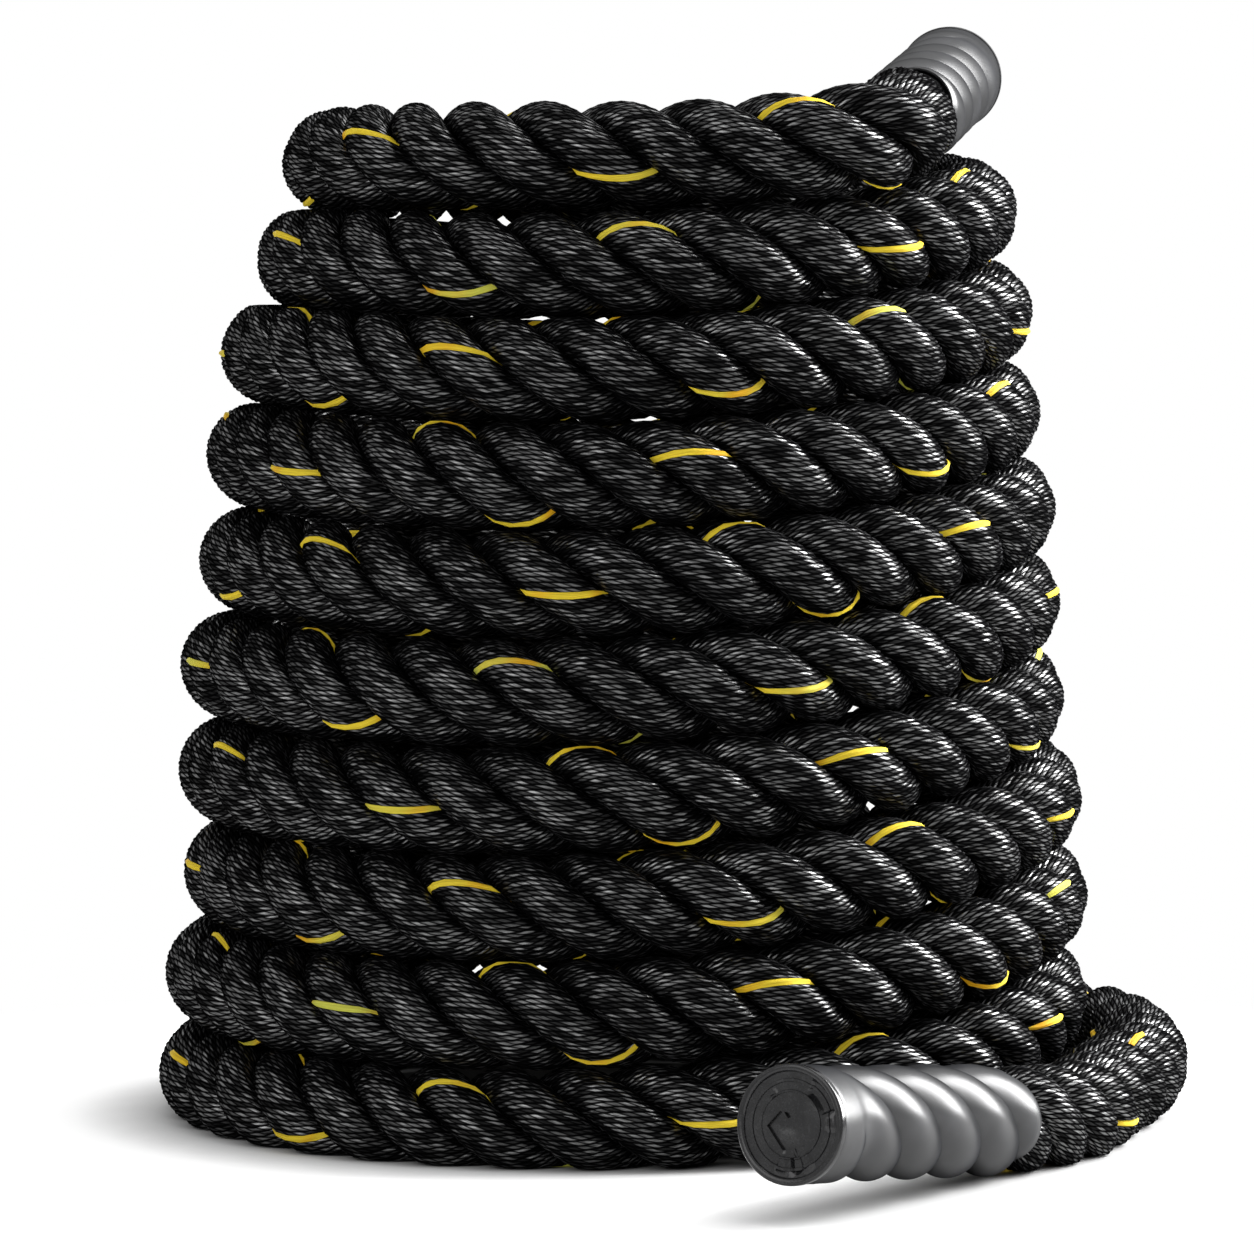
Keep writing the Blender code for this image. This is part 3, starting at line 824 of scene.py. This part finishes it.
@dataclass
class LaidRope:
    """The rope as three round strands laid round its centre line, each of plied yarns.

    A ring of each strand has three points to a yarn, which follow the yarn, so its relief is in the mesh.

    Args:
        squeeze_length: the stretch at each end over which the rope narrows into its grip.
        press: how far each turn reaches past the middle between it and the next.
        soft_reach: the height over which a strand that is pressed flat rounds off.
        strand_gap: angle kept free on each side of a strand, in radians.
        front_place: where the front of a turn is among the drifts' evenly spaced values.
        lay_drift_shares: turns that the lay strays by, on the floor run and at the front of each turn.
        tracer_drift_shares: the same of the tracer's place on its strand.
    """

    route: RopeRoute
    lay_length: float = 0.0764
    strand_radius: float = 0.0091
    yarns_per_strand: int = 24
    yarn_depth: float = 0.00034
    tracer_raise: float = 0.00050
    tracer_widen: float = 0.040
    yarn_turns_per_lay: float = 2.59
    ring_spacing: float = 0.0027
    squeeze_length: float = 0.010
    squeeze_share: float = 0.985
    press: float = 0.0005
    soft_reach: float = 0.0009
    floor_gap: float = 0.0003
    strand_gap: float = 0.006
    smoothed_rings: int = 4
    front_place: float = 0.75
    lay_drift_shares: tuple[float, ...] = (
        0.0, 0.30, 0.75, 1.10, 0.60, 0.40, 0.05, 0.35, 0.75, 0.85, 0.80, 0.0
    )
    tracer_drift_shares: tuple[float, ...] = (
        -0.35, -0.35, -0.80, -1.25, -1.00, -0.75, -0.60, -0.45, -0.35, -0.65, -0.50, -0.50
    )
    black: YarnFinish = YarnFinish()
    tracer: TracerFinish = TracerFinish()

    def __post_init__(self) -> None:
        """Spaces the rings evenly along the route and finds each ring's frame."""
        dense, dense_turns = self.route.line()
        steps = np.linalg.norm(np.diff(dense, axis=0), axis=1)
        travelled = np.concatenate([[0.0], np.cumsum(steps)])
        self.length = float(travelled[-1])
        count = round(self.length / self.ring_spacing) + 1
        self.at = np.linspace(0.0, self.length, count)
        self.points = np.stack([np.interp(self.at, travelled, dense[:, i]) for i in range(3)], axis=1)
        self.turns = np.interp(self.at, travelled, dense_turns)
        self.ways = self.unit(np.gradient(self.points, self.at, axis=0))
        self.ways = self.unit(self.smoothed(self.ways, self.smoothed_rings))
        upright = np.array([0.0, 0.0, 1.0]) - self.ways * self.ways[:, 2:3]
        self.tops = self.unit(upright)
        self.sides = np.cross(self.ways, self.tops)
        self.phases = self.lay_phases()
        self.around = POINTS_PER_YARN * self.yarns_per_strand

    def unit(self, vectors: np.ndarray) -> np.ndarray:
        """The vectors, each made one long."""
        return vectors / np.linalg.norm(vectors, axis=1, keepdims=True)

    def smoothed(self, values: np.ndarray, reach: int) -> np.ndarray:
        """A running mean over neighbours on both sides, ends kept."""
        padded = np.concatenate([np.repeat(values[:1], reach, 0), values, np.repeat(values[-1:], reach, 0)])
        return sum(padded[k : k + len(values)] for k in range(2 * reach + 1)) / (2 * reach + 1)

    def grip_phase(self, grip: Grip, index: int) -> float:
        """Turn of the first strand at the grip's mouth, seen in the ring's own frame."""
        lobe = np.array(grip.placing.to_3x3() @ Vector((1, 0, 0)))
        return math.atan2(float(lobe @ self.sides[index]), float(lobe @ self.tops[index]))

    def lay_phases(self) -> np.ndarray:
        """Turn of the first strand at each ring, fitted so that strands and sleeve lobes meet at both ends."""
        start = self.grip_phase(self.route.lower_grip, 0)
        end = self.grip_phase(self.route.upper_grip, -1)
        third = math.tau / STRANDS
        wanted = math.tau * self.length / self.lay_length
        drift = math.tau * self.drift(self.lay_drift_shares)
        drift = drift - drift[0]
        whole = round((wanted + drift[-1] - (end - start)) / third) * third + (end - start)
        return start + drift + (whole - drift[-1]) * self.at / self.length

    def drift(self, shares: tuple[float, ...]) -> np.ndarray:
        """A slow change along the rope, from a value on the floor run and one at the front of each turn."""
        start, end = self.at[self.on_coil()][[0, -1]]
        round_first = math.tau * self.route.coil_radius(0)
        round_last = math.tau * self.route.coil_radius(self.route.coil_turns)
        laps = np.clip(self.turns, -self.route.lead_in_turns, self.route.coil_turns)
        laps = laps - np.maximum(start - self.at, 0) / round_first + np.maximum(self.at - end, 0) / round_last
        return np.array([self.route.smooth_value(shares, lap + self.front_place) for lap in laps])

    def on_coil(self) -> np.ndarray:
        """Whether each ring is on the coil."""
        return (self.turns >= -self.route.lead_in_turns) & (self.turns <= self.route.coil_turns)

    def height_limits(self) -> tuple[np.ndarray, np.ndarray]:
        """How far the strands may reach below and above the centre line before the next turn or the floor."""
        inside = self.on_coil()
        turned, heights = self.turns[inside], self.points[inside, 2]
        free = 1.0
        below = np.full(len(self.at), free)
        above = np.full(len(self.at), free)
        lower = np.interp(turned - 1, turned, heights, left=self.route.lying_height)
        upper = np.interp(turned + 1, turned, heights)
        half_below = (heights - lower) / 2 + self.press
        half_above = (upper - heights) / 2 + self.press
        below[inside] = np.where(turned < 1 - self.route.lead_in_turns, free, half_below)
        above[inside] = np.where(turned + 1 <= self.route.coil_turns, half_above, free)
        return np.minimum(below, self.points[:, 2] - self.floor_gap), above

    def strand_points(
        self, first: int, last: int, strand: int, lows: np.ndarray, highs: np.ndarray
    ) -> np.ndarray:
        """Ring points of one strand.

        Args:
            first: the first ring.
            last: the ring after the last.
            strand: 0, 1 or 2; the tracer is in 0.
            lows: how far down each ring may reach.
            highs: how far up each ring may reach.

        Returns:
            An array of rings by points by three.
        """
        ring = slice(first, last)
        phase = self.phases[ring] + math.tau * strand / STRANDS
        rate = np.gradient(self.phases, self.at)[ring][:, None]
        from_ends = np.minimum(self.at[ring], self.length - self.at[ring])
        grip_share = self.route.lower_grip.rope_radius / (self.route.rope_diameter / 2) * self.squeeze_share
        u = np.clip(from_ends / self.squeeze_length, 0, 1)
        squeeze = grip_share + (1 - grip_share) * u * u * (3 - 2 * u)
        centre_radius = self.route.rope_diameter / 2 - self.strand_radius
        slope = np.arctan(rate * centre_radius)
        way, top, side = self.ways[ring], self.tops[ring], self.sides[ring]
        outward = np.cos(phase)[:, None] * top + np.sin(phase)[:, None] * side
        round_way = -np.sin(phase)[:, None] * top + np.cos(phase)[:, None] * side
        k = np.arange(self.around)
        turn = math.tau * ((k - POINTS_PER_YARN / 2) / self.around)
        if strand == 0:
            ends = np.where(k == POINTS_PER_YARN, 1.0, 0.0) - np.where(k == 0, 1.0, 0.0)
            turn = turn + self.tracer_widen * ends
        own = self.yarn_turns_per_lay * phase + math.tau * self.drift(self.tracer_drift_shares)[ring]
        theta = turn[None, :] - own[:, None]
        relief = np.where(k % POINTS_PER_YARN == 0, -self.yarn_depth, 0.0)
        if strand == 0:
            relief = relief + np.where((k > 0) & (k < POINTS_PER_YARN), self.tracer_raise, 0.0)
        radius = (self.strand_radius + relief)[None, :] * np.ones_like(theta)
        out = centre_radius + radius * np.cos(theta)
        over = radius * np.sin(theta) * np.cos(slope)
        back = -radius * np.sin(theta) * np.sin(slope)
        reach = np.hypot(out, over)
        seen = np.arctan2(over, out) - rate * back
        limit = math.pi / STRANDS - self.strand_gap
        angle = np.clip(seen, -limit, limit) + rate * back
        out, over = reach * np.cos(angle), reach * np.sin(angle)
        scale = squeeze[:, None]
        place = (
            self.points[ring][:, None, :]
            + (scale * out)[..., None] * outward[:, None, :]
            + (scale * over)[..., None] * round_way[:, None, :]
            + (scale * back)[..., None] * way[:, None, :]
        )
        height = place[..., 2] - self.points[ring][:, None, 2]
        height = self.held_below(height, highs[ring][:, None])
        height = -self.held_below(-height, lows[ring][:, None])
        place[..., 2] = self.points[ring][:, None, 2] + height
        return place

    def held_below(self, height: np.ndarray, limit: np.ndarray) -> np.ndarray:
        """The heights, rounded off softly below a limit."""
        over = np.maximum(height - (limit - self.soft_reach), 0)
        return np.where(over > 0, limit - self.soft_reach * np.exp(-over / self.soft_reach), height)

    def piece(
        self, name: str, first: int, last: int, lows: np.ndarray, highs: np.ndarray
    ) -> bpy.types.Object:
        """Builds one stretch of the rope as a mesh of three closed strands.

        Args:
            name: the piece's name.
            first: its first ring.
            last: its last ring.
            lows: how far down each ring may reach.
            highs: how far up each ring may reach.

        Returns:
            The object.
        """
        around = self.around
        rings = last - first + 1
        every = [self.strand_points(first, last + 1, strand, lows, highs) for strand in range(STRANDS)]
        points = np.concatenate([strand.reshape(-1, 3) for strand in every])
        i, k = np.meshgrid(np.arange(rings - 1), np.arange(around), indexing="ij")
        after = (k + 1) % around
        here, there = i * around, (i + 1) * around
        quads = np.stack([here + k, here + after, there + after, there + k], axis=-1).reshape(-1, 4)
        yarn = np.stack([k, k + 1, k + 1, k], axis=-1).reshape(-1, 4) / POINTS_PER_YARN
        along = self.at[first : last + 1] * MILLIMETRES
        length = np.stack([along[i], along[i], along[i + 1], along[i + 1]], axis=-1).reshape(-1, 4)
        loops, maps, starts, slots = [], [], [], []
        total = 0
        for strand in range(STRANDS):
            base = strand * rings * around
            yarns_before = YARN_COUNT_STEP * strand
            sides = (quads + base).reshape(-1)
            near = base + np.arange(around)[::-1]
            far = base + (rings - 1) * around + np.arange(around)
            loops += [sides, near, far]
            maps.append(np.stack([yarn.reshape(-1) + yarns_before, length.reshape(-1)], axis=-1))
            for end in (along[0], along[-1]):
                maps.append(np.tile([yarns_before + YARN_COUNT_STEP / 2, end], (around, 1)))
            starts += [total + np.arange(0, len(sides), 4), [total + len(sides)], [total + len(sides) + around]]
            tracer = (k.reshape(-1) < POINTS_PER_YARN) & (strand == 0)
            slots += [tracer.astype(np.int32), [0, 0]]
            total += len(sides) + 2 * around
        mesh = bpy.data.meshes.new(name)
        mesh.vertices.add(len(points))
        mesh.vertices.foreach_set("co", points.astype(np.float32).ravel())
        mesh.loops.add(total)
        mesh.loops.foreach_set("vertex_index", np.concatenate(loops).astype(np.int32))
        starts = np.concatenate(starts).astype(np.int32)
        mesh.polygons.add(len(starts))
        mesh.polygons.foreach_set("loop_start", starts)
        mesh.polygons.foreach_set("material_index", np.concatenate(slots).astype(np.int32))
        lay = mesh.uv_layers.new(name="lay")
        lay.uv.foreach_set("vector", np.concatenate(maps).astype(np.float32).ravel())
        mesh.materials.append(self.black_material)
        mesh.materials.append(self.yellow_material)
        mesh.update(calc_edges=True)
        mesh.shade_smooth()
        piece = bpy.data.objects.new(name, mesh)
        bpy.context.scene.collection.objects.link(piece)
        return piece

    def build(self) -> None:
        """Builds the rope in stretches of one turn that meet at the coil's back, puts each on the root body and
        hides the CAD node it replaces.
        """
        self.black_material = self.black.material()
        self.yellow_material = self.tracer.material()
        lows, highs = self.height_limits()
        cuts = [0]
        for turn in range(math.floor(self.route.coil_turns) + 1):
            cuts.append(int(np.searchsorted(self.turns, turn - self.route.lead_in_turns)))
        cuts.append(len(self.at) - 1)
        for number, (first, last) in enumerate(zip(cuts, cuts[1:])):
            name = "rope_floor_run_laid" if number == 0 else f"rope_turn_{number:02d}_laid"
            piece = self.piece(name, first, last, lows, highs)
            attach(piece, "root")
            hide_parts("rope_floor_run" if number == 0 else "rope_coil")
            log.info("%s: %.3f m, %d faces", name, self.at[last] - self.at[first], len(piece.data.polygons))


@dataclass
class GripSleeve:
    """The shrunk sleeve: lobes that wind with the strands under it, a drawn-in lip and a round end.

    It is modelled from its round end to its mouth, in the grip's own frame, and then set in place.
    """

    grip: Grip
    finish: bpy.types.Material
    crest: float = 0.0188
    wall: float = 0.0011
    valley_depth: float = 0.0032
    valley_sharpness: float = 0.9
    lip_length: float = 0.0030
    lip_inset: float = 0.0006
    flare_length: float = 0.0140
    flare: float = 0.0002
    round_from: float = 0.123
    rim_round: float = 0.00035
    rim_segments: int = 3
    rim_angle: float = 70
    smooth_angle: float = 40
    end_rings: Pair = (0.0025, 0.0050)
    lip_ring_shares: Triple = (0.66, 0.33, 0.0)
    same_place: float = 1e-6
    same_angle: float = 0.004
    same_size: float = 1e-7
    lobes: int = 3
    points_per_half_lobe: int = 20
    ring_spacing: float = 0.0015

    def sizes(self, along: float) -> Pair:
        """Crest radius and valley depth at a distance into the grip."""
        lip = self.lip_inset * (1 - smooth_step(along / self.lip_length))
        flare = smooth_step((along - self.round_from + self.flare_length) / self.flare_length)
        return self.crest - lip + self.flare * flare, self.valley_depth * (1 - flare)

    def radius(self, along: float, step: int) -> float:
        """Radius at a distance into the grip, so many points away from the crest of a lobe."""
        crest, depth = self.sizes(along)
        angle = math.pi / self.lobes * step / self.points_per_half_lobe
        return crest - depth * (1 - abs(math.cos(self.lobes / 2 * angle)) ** self.valley_sharpness)

    def model(self) -> bpy.types.Object:
        """Models the sleeve with edit mode's extrude, rotate and resize, and gives it its wall."""
        count = 2 * self.lobes * self.points_per_half_lobe
        deselect_all()
        start = (0, 0, self.grip.length)
        radius, _ = self.sizes(self.grip.length)
        bpy.ops.mesh.primitive_circle_add(vertices=count, radius=radius, location=start)
        sleeve = bpy.context.object
        bpy.ops.object.transform_apply(location=True, rotation=True, scale=True)
        bpy.ops.object.mode_set(mode="EDIT")
        turned = self.grip.twist(self.round_from)
        turn_selected(turned)
        stops = [*(self.grip.length - back for back in self.end_rings), self.round_from]
        body = self.round_from - self.lip_length
        count = round(body / self.ring_spacing)
        stops += [self.round_from - body * k / count for k in range(1, count + 1)]
        stops += [self.lip_length * share for share in self.lip_ring_shares]
        before = self.grip.length
        for along in stops:
            bpy.ops.mesh.extrude_region_move(TRANSFORM_OT_translate={"value": (0, 0, along - before)})
            twist = self.grip.twist(min(along, self.round_from))
            turn_selected(twist - turned)
            turned = twist
            self.shape_ring(sleeve, before, along, twist)
            before = along
        bpy.ops.mesh.select_all(action="SELECT")
        bpy.ops.mesh.normals_make_consistent(inside=False)
        bpy.ops.object.mode_set(mode="OBJECT")
        add_modifier(sleeve, "SOLIDIFY", thickness=self.wall, offset=-1.0, use_even_offset=True)
        limits = {"limit_method": "ANGLE", "angle_limit": math.radians(self.rim_angle)}
        add_modifier(sleeve, "BEVEL", width=self.rim_round, segments=self.rim_segments, **limits)
        bpy.ops.object.shade_smooth_by_angle(angle=math.radians(self.smooth_angle))
        return sleeve

    def shape_ring(self, sleeve: bpy.types.Object, before: float, along: float, twist: float) -> None:
        """Resizes the newest ring, point by point away from the crests, where the lobes' depth changes."""
        if self.sizes(before) == self.sizes(along):
            return
        for step in range(self.points_per_half_lobe + 1):
            share = self.radius(along, step) / self.radius(before, step)
            if abs(share - 1) < self.same_size:
                continue
            want = math.pi / self.lobes * step / self.points_per_half_lobe

            def on_ring(place: Vector) -> bool:
                """Whether a point is on the newest ring and this far from a crest."""
                third = math.tau / self.lobes
                angle = (math.atan2(place.y, place.x) - twist + third / 2) % third - third / 2
                return abs(place.z - along) < self.same_place and abs(abs(angle) - want) < self.same_angle

            select_where(sleeve, on_ring)
            bpy.ops.transform.resize(value=(share, share, 1), center_override=(0, 0, 0))
        select_where(sleeve, lambda place: abs(place.z - along) < self.same_place)

    def build(self, modelled: bpy.types.Object | None = None) -> bpy.types.Object:
        """Args:
            modelled: the first sleeve, still in the grip's own frame, to be copied.

        Returns:
            A spare of the sleeve in the grip's own frame when it was modelled here, else the sleeve.
        """
        sleeve = own_copy(modelled) if modelled else self.model()
        spare = None if modelled else own_copy(sleeve)
        name = f"{self.grip.name}_grip_sleeve_shrunk"
        declare(sleeve, name, self.grip, self.finish, f"{self.grip.name}_grip_sleeve")
        return spare or sleeve


@dataclass
class EndCap:
    """The moulded end cap: plug, rounded flange, and a sunk face with steps, tabs and a five-sided hollow.

    Args:
        step_shares: the face's rings, as shares of the radius inside the rim, with how far each is raised.
        hollow_shares: the hollow's corners, as shares of that radius.
        breaks: where the steps are broken, by bearing and half its width in degrees, the shares of that
            radius between which it lies, and how far it is lifted.
    """

    grip: Grip
    finish: bpy.types.Material
    plug: float = 0.0174
    flange: float = 0.0194
    plug_depth: float = 0.0050
    touch_gap: float = 0.0003
    thickness: float = 0.0030
    edge_round: float = 0.0008
    rim_width: float = 0.0022
    recess_depth: float = 0.0011
    hollow_depth: float = 0.0012
    hollow_shares: tuple[Pair, ...] = (
        (-0.24, 0.24), (-0.50, -0.05), (-0.14, -0.48), (0.34, -0.38), (0.30, 0.18)
    )
    hollow_within_share: float = 0.605
    same_place: float = 1e-6
    same_side: float = -1e-8
    points: int = 96
    round_angles: tuple[float, ...] = (0, 22, 45, 68, 90)
    rim_rings: tuple[Pair, ...] = ((0.0003, 0.0), (0.0, -0.0002))
    rim_foot: float = 0.0004
    step_shares: tuple[Pair, ...] = (
        (0.93, 0.0), (0.86, 0.0), (0.85, 0.0004), (0.80, 0.0004), (0.79, 0.0), (0.72, 0.0), (0.65, 0.0),
        (0.64, 0.0003), (0.61, 0.0003), (0.60, 0.0), (0.30, 0.0),
    )
    middle_share: float = 0.5
    middle_sunk: float = 0.0002
    smooth_angle: float = 38
    breaks: tuple[tuple[float, ...], ...] = (
        (42, 20, 0.70, 0.95, -0.0013),
        (8, 9, 0.76, 0.95, 0.0005),
        (262, 8, 0.60, 0.92, 0.0007),
        (283, 9, 0.60, 0.92, -0.0012),
        (303, 8, 0.60, 0.92, 0.0008),
        (128, 5, 0.60, 0.70, 0.0006),
    )

    @property
    def inside(self) -> float:
        """Radius inside the rim."""
        return self.flange - self.rim_width

    @property
    def seat(self) -> float:
        """Height at which the flange sits on the sleeve."""
        return self.grip.length + self.touch_gap

    def profile(self) -> list[Pair]:
        """Radii and heights of the cap's rings, from the plug's foot over the flange to the sunk face."""
        foot = self.grip.length - self.plug_depth
        top = self.seat + self.thickness
        face = top - self.recess_depth
        edge = self.edge_round
        rounded = [math.radians(angle) for angle in self.round_angles]
        rings = [(self.plug - edge, foot), (self.plug, foot + edge), (self.plug, self.seat)]
        rings += [(self.flange - edge / 2, self.seat), (self.flange, self.seat + edge / 2)]
        rings += [(self.flange - edge * (1 - math.cos(a)), top - edge * (1 - math.sin(a))) for a in rounded]
        rings += [(self.inside + beyond, top + raised) for beyond, raised in self.rim_rings]
        rings.append((self.inside - self.rim_foot, face))
        return rings + [(self.inside * share, face + raised) for share, raised in self.step_shares]

    def model(self) -> bpy.types.Object:
        """Models the cap from its plug's foot to the middle of its face with edit mode's tools."""
        rings = self.profile()
        deselect_all()
        radius, height = rings[0]
        bpy.ops.mesh.primitive_circle_add(
            vertices=self.points, radius=radius, fill_type="NGON", location=(0, 0, height)
        )
        cap = bpy.context.object
        bpy.ops.object.transform_apply(location=True, rotation=True, scale=True)
        bpy.ops.object.mode_set(mode="EDIT")
        for following, following_height in rings[1:]:
            move = {"value": (0, 0, following_height - height)}
            bpy.ops.mesh.extrude_region_move(TRANSFORM_OT_translate=move)
            share = following / radius
            bpy.ops.transform.resize(value=(share, share, 1), center_override=(0, 0, 0))
            radius, height = following, following_height
        bpy.ops.mesh.inset(thickness=radius * self.middle_share, depth=-self.middle_sunk)
        self.sink_hollow(cap)
        self.break_steps(cap)
        bpy.ops.mesh.select_all(action="SELECT")
        bpy.ops.mesh.normals_make_consistent(inside=False)
        bpy.ops.object.mode_set(mode="OBJECT")
        bpy.ops.object.shade_smooth_by_angle(angle=math.radians(self.smooth_angle))
        return cap

    def sink_hollow(self, cap: bpy.types.Object) -> None:
        """Sinks the five-sided hollow beside the middle of the face."""
        lowest = self.seat
        within = self.hollow_within_share * self.inside
        corners = [Vector(share) * self.inside for share in self.hollow_shares]
        sides = list(zip(corners, corners[1:] + corners[:1]))

        def in_hollow(place: Vector) -> bool:
            """Whether a point of the face is inside all five sides."""
            turns = [(last - first).cross(place.xy - first) for first, last in sides]
            return place.z > lowest and min(turns) > self.same_side

        for first, last in sides:
            select_where(cap, lambda place: place.z > lowest and place.xy.length < within)
            across = Vector((last.y - first.y, first.x - last.x, 0))
            corner = (first.x, first.y, lowest)
            bpy.ops.mesh.bisect(plane_co=corner, plane_no=across, threshold=self.same_place)
        select_where(cap, in_hollow)
        bpy.ops.mesh.extrude_region_move(TRANSFORM_OT_translate={"value": (0, 0, -self.hollow_depth)})

    def break_steps(self, cap: bpy.types.Object) -> None:
        """Breaks the face's steps into sunk gaps and raised tabs."""
        for bearing, spread, near, far, lift in self.breaks:

            def in_patch(place: Vector) -> bool:
                """Whether a point is on this stretch of the steps."""
                away = (math.degrees(math.atan2(place.y, place.x)) - bearing + 180) % 360 - 180
                out = place.xy.length / self.inside
                return abs(away) < spread and near < out < far and place.z > self.seat

            select_where(cap, in_patch)
            bpy.ops.transform.translate(value=(0, 0, lift))

    def build(self, modelled: bpy.types.Object | None = None) -> bpy.types.Object:
        """Args:
            modelled: the first cap, still in the grip's own frame, to be copied.

        Returns:
            A spare of the cap in the grip's own frame when it was modelled here, else the cap.
        """
        cap = own_copy(modelled) if modelled else self.model()
        spare = None if modelled else own_copy(cap)
        name = f"{self.grip.name}_end_cap_moulded"
        declare(cap, name, self.grip, self.finish, f"{self.grip.name}_end_cap")
        return spare or cap


@dataclass(frozen=True)
class Lamp:
    """One soft lamp that faces the coil, with its place, its width and height, and its power in watts."""

    name: str
    place: Triple
    sides: Pair
    power: float


@dataclass
class Studio:
    """White floor, soft lamps and the camera at the photograph's angle."""

    camera_distance: float = 2.197
    camera_height: float = 0.2904
    camera_pitch: float = 3.0
    focal_pixels: float = 6080.0
    floor_side: float = 40.0
    aim_height: float = 0.18
    surround: float = 0.10
    lamps: tuple[Lamp, ...] = (
        Lamp("key", (-1.50, -1.65, 1.15), (1.6, 1.8), 20.0),
        Lamp("side", (2.00, 0.60, 1.15), (1.1, 2.0), 210.0),
        Lamp("top", (0.5, 0.2, 2.1), (1.0, 1.0), 14.0),
    )

    def build(self) -> None:
        """Makes all of it."""
        self.camera()
        self.floor()
        for lamp in self.lamps:
            self.hang(lamp)
        self.world()

    def camera(self) -> None:
        """Places the camera."""
        data = bpy.data.cameras.new("camera")
        data.lens = data.sensor_width * self.focal_pixels / IMAGE_SIDE
        camera = bpy.data.objects.new("camera", data)
        camera.location = (COIL_AXIS[0], COIL_AXIS[1] - self.camera_distance, self.camera_height)
        camera.rotation_euler = (math.radians(90 - self.camera_pitch), 0, 0)
        bpy.context.scene.collection.objects.link(camera)
        bpy.context.scene.camera = camera

    def floor(self) -> None:
        """Adds the floor."""
        deselect_all()
        bpy.ops.mesh.primitive_plane_add(size=self.floor_side, location=(0, 0, 0))
        floor = bpy.context.object
        floor.name = "studio_floor"
        floor.data.materials.append(FloorFinish().material())

    def hang(self, lamp: Lamp) -> None:
        """Adds a lamp.

        Args:
            lamp: the lamp's name, place, sides and power.
        """
        data = bpy.data.lights.new(lamp.name, "AREA")
        data.shape = "RECTANGLE"
        data.size, data.size_y = lamp.sides
        data.energy = lamp.power
        hung = bpy.data.objects.new(lamp.name, data)
        hung.location = lamp.place
        aim = Vector((*COIL_AXIS, self.aim_height)) - Vector(lamp.place)
        hung.rotation_euler = aim.to_track_quat("-Z", "Y").to_euler()
        bpy.context.scene.collection.objects.link(hung)

    def world(self) -> None:
        """Sets a white surround that lights softly and that the camera sees as white."""
        world = bpy.data.worlds.new("studio")
        bpy.context.scene.world = world
        world.use_nodes = True
        nodes = Nodes(world.node_tree)
        surround = nodes.built("Background")
        nodes.feed(surround.node.inputs["Color"], WHITE)
        nodes.feed(surround.node.inputs["Strength"], self.surround)
        white = nodes.node("ShaderNodeBackground", {}, {"Color": WHITE, "Strength": 1.0}).out(0)
        mix = nodes.node("ShaderNodeMixShader", {}, {0: nodes.seen(), 1: surround.out(0), 2: white}).out(0)
        nodes.feed(nodes.built("World Output").node.inputs["Surface"], mix)


def select_where(obj: bpy.types.Object, test: Callable[[Vector], bool]) -> None:
    """Selects, in edit mode, the points whose place passes a test, and nothing else.

    Args:
        obj: the object in edit mode.
        test: says for a place whether its point is wanted.
    """
    bpy.ops.mesh.select_mode(type="VERT")
    bpy.ops.mesh.select_all(action="DESELECT")
    shape = bmesh.from_edit_mesh(obj.data)
    for point in shape.verts:
        if test(point.co):
            point.select_set(True)
    shape.select_flush_mode()
    bmesh.update_edit_mesh(obj.data)


def turn_selected(angle: float) -> None:
    """Turns what is selected counter-clockwise round the Z axis, by an angle in radians."""
    bpy.ops.transform.rotate(value=TURN_SIGN * angle, orient_axis="Z", center_override=(0, 0, 0))


def add_modifier(obj: bpy.types.Object, kind: str, **settings: float | bool | str | int) -> None:
    """Adds a modifier with its settings to the active object and applies it."""
    modifier = obj.modifiers.new(kind.lower(), kind)
    for key, value in settings.items():
        setattr(modifier, key, value)
    bpy.ops.object.modifier_apply(modifier=modifier.name)


def own_copy(obj: bpy.types.Object) -> bpy.types.Object:
    """A copy of an object with its own mesh."""
    copy = obj.copy()
    copy.data = obj.data.copy()
    bpy.context.scene.collection.objects.link(copy)
    return copy


def declare(
    piece: bpy.types.Object,
    name: str,
    grip: Grip,
    finish: bpy.types.Material,
    node: str,
) -> None:
    """Args:
        piece: the piece, in the grip's own frame.
        name: its name.
        grip: the grip it belongs to.
        finish: its material.
        node: the CAD node it stands for.
    """
    deselect_all()
    piece.name = piece.data.name = name
    piece.matrix_world = grip.placing
    piece.select_set(True)
    bpy.context.view_layer.objects.active = piece
    bpy.ops.object.transform_apply(location=True, rotation=True, scale=True)
    piece.data.materials.clear()
    piece.data.materials.append(finish)
    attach(piece, "root")
    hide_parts(node)
    log.info("%s: %d faces", name, len(piece.data.polygons))


def dress_node(name: str, material: bpy.types.Material) -> None:
    """Gives a CAD node a finish.

    Args:
        name: the node's name.
        material: its finish.
    """
    node = frame["nodes"][name]
    node.data.materials.clear()
    node.data.materials.append(material)


def main() -> None:
    """Builds the rope, its grips and the studio."""
    bpy.context.scene.view_settings.view_transform = "Standard"
    route = RopeRoute()
    rope = LaidRope(route)
    log.info("rope between the grips: %.3f m", rope.length)
    rope.build()
    sleeve_finish = SleeveFinish().material()
    cap_finish = CapFinish().material()
    tape_finish = TapeFinish().material()
    bundle_finish = BundleFinish().material()
    sleeve = GripSleeve(route.lower_grip, sleeve_finish).build()
    GripSleeve(route.upper_grip, sleeve_finish).build(sleeve)
    cap = EndCap(route.lower_grip, cap_finish).build()
    EndCap(route.upper_grip, cap_finish).build(cap)
    for spare in (sleeve, cap):
        bpy.data.objects.remove(spare)
    for grip in (route.lower_grip, route.upper_grip):
        dress_node(f"{grip.name}_binding_tape", tape_finish)
        for number in range(1, STRANDS + 1):
            dress_node(f"{grip.name}_strand_end_{number}", bundle_finish)
    Studio().build()


if __name__ == "__main__":
    main()
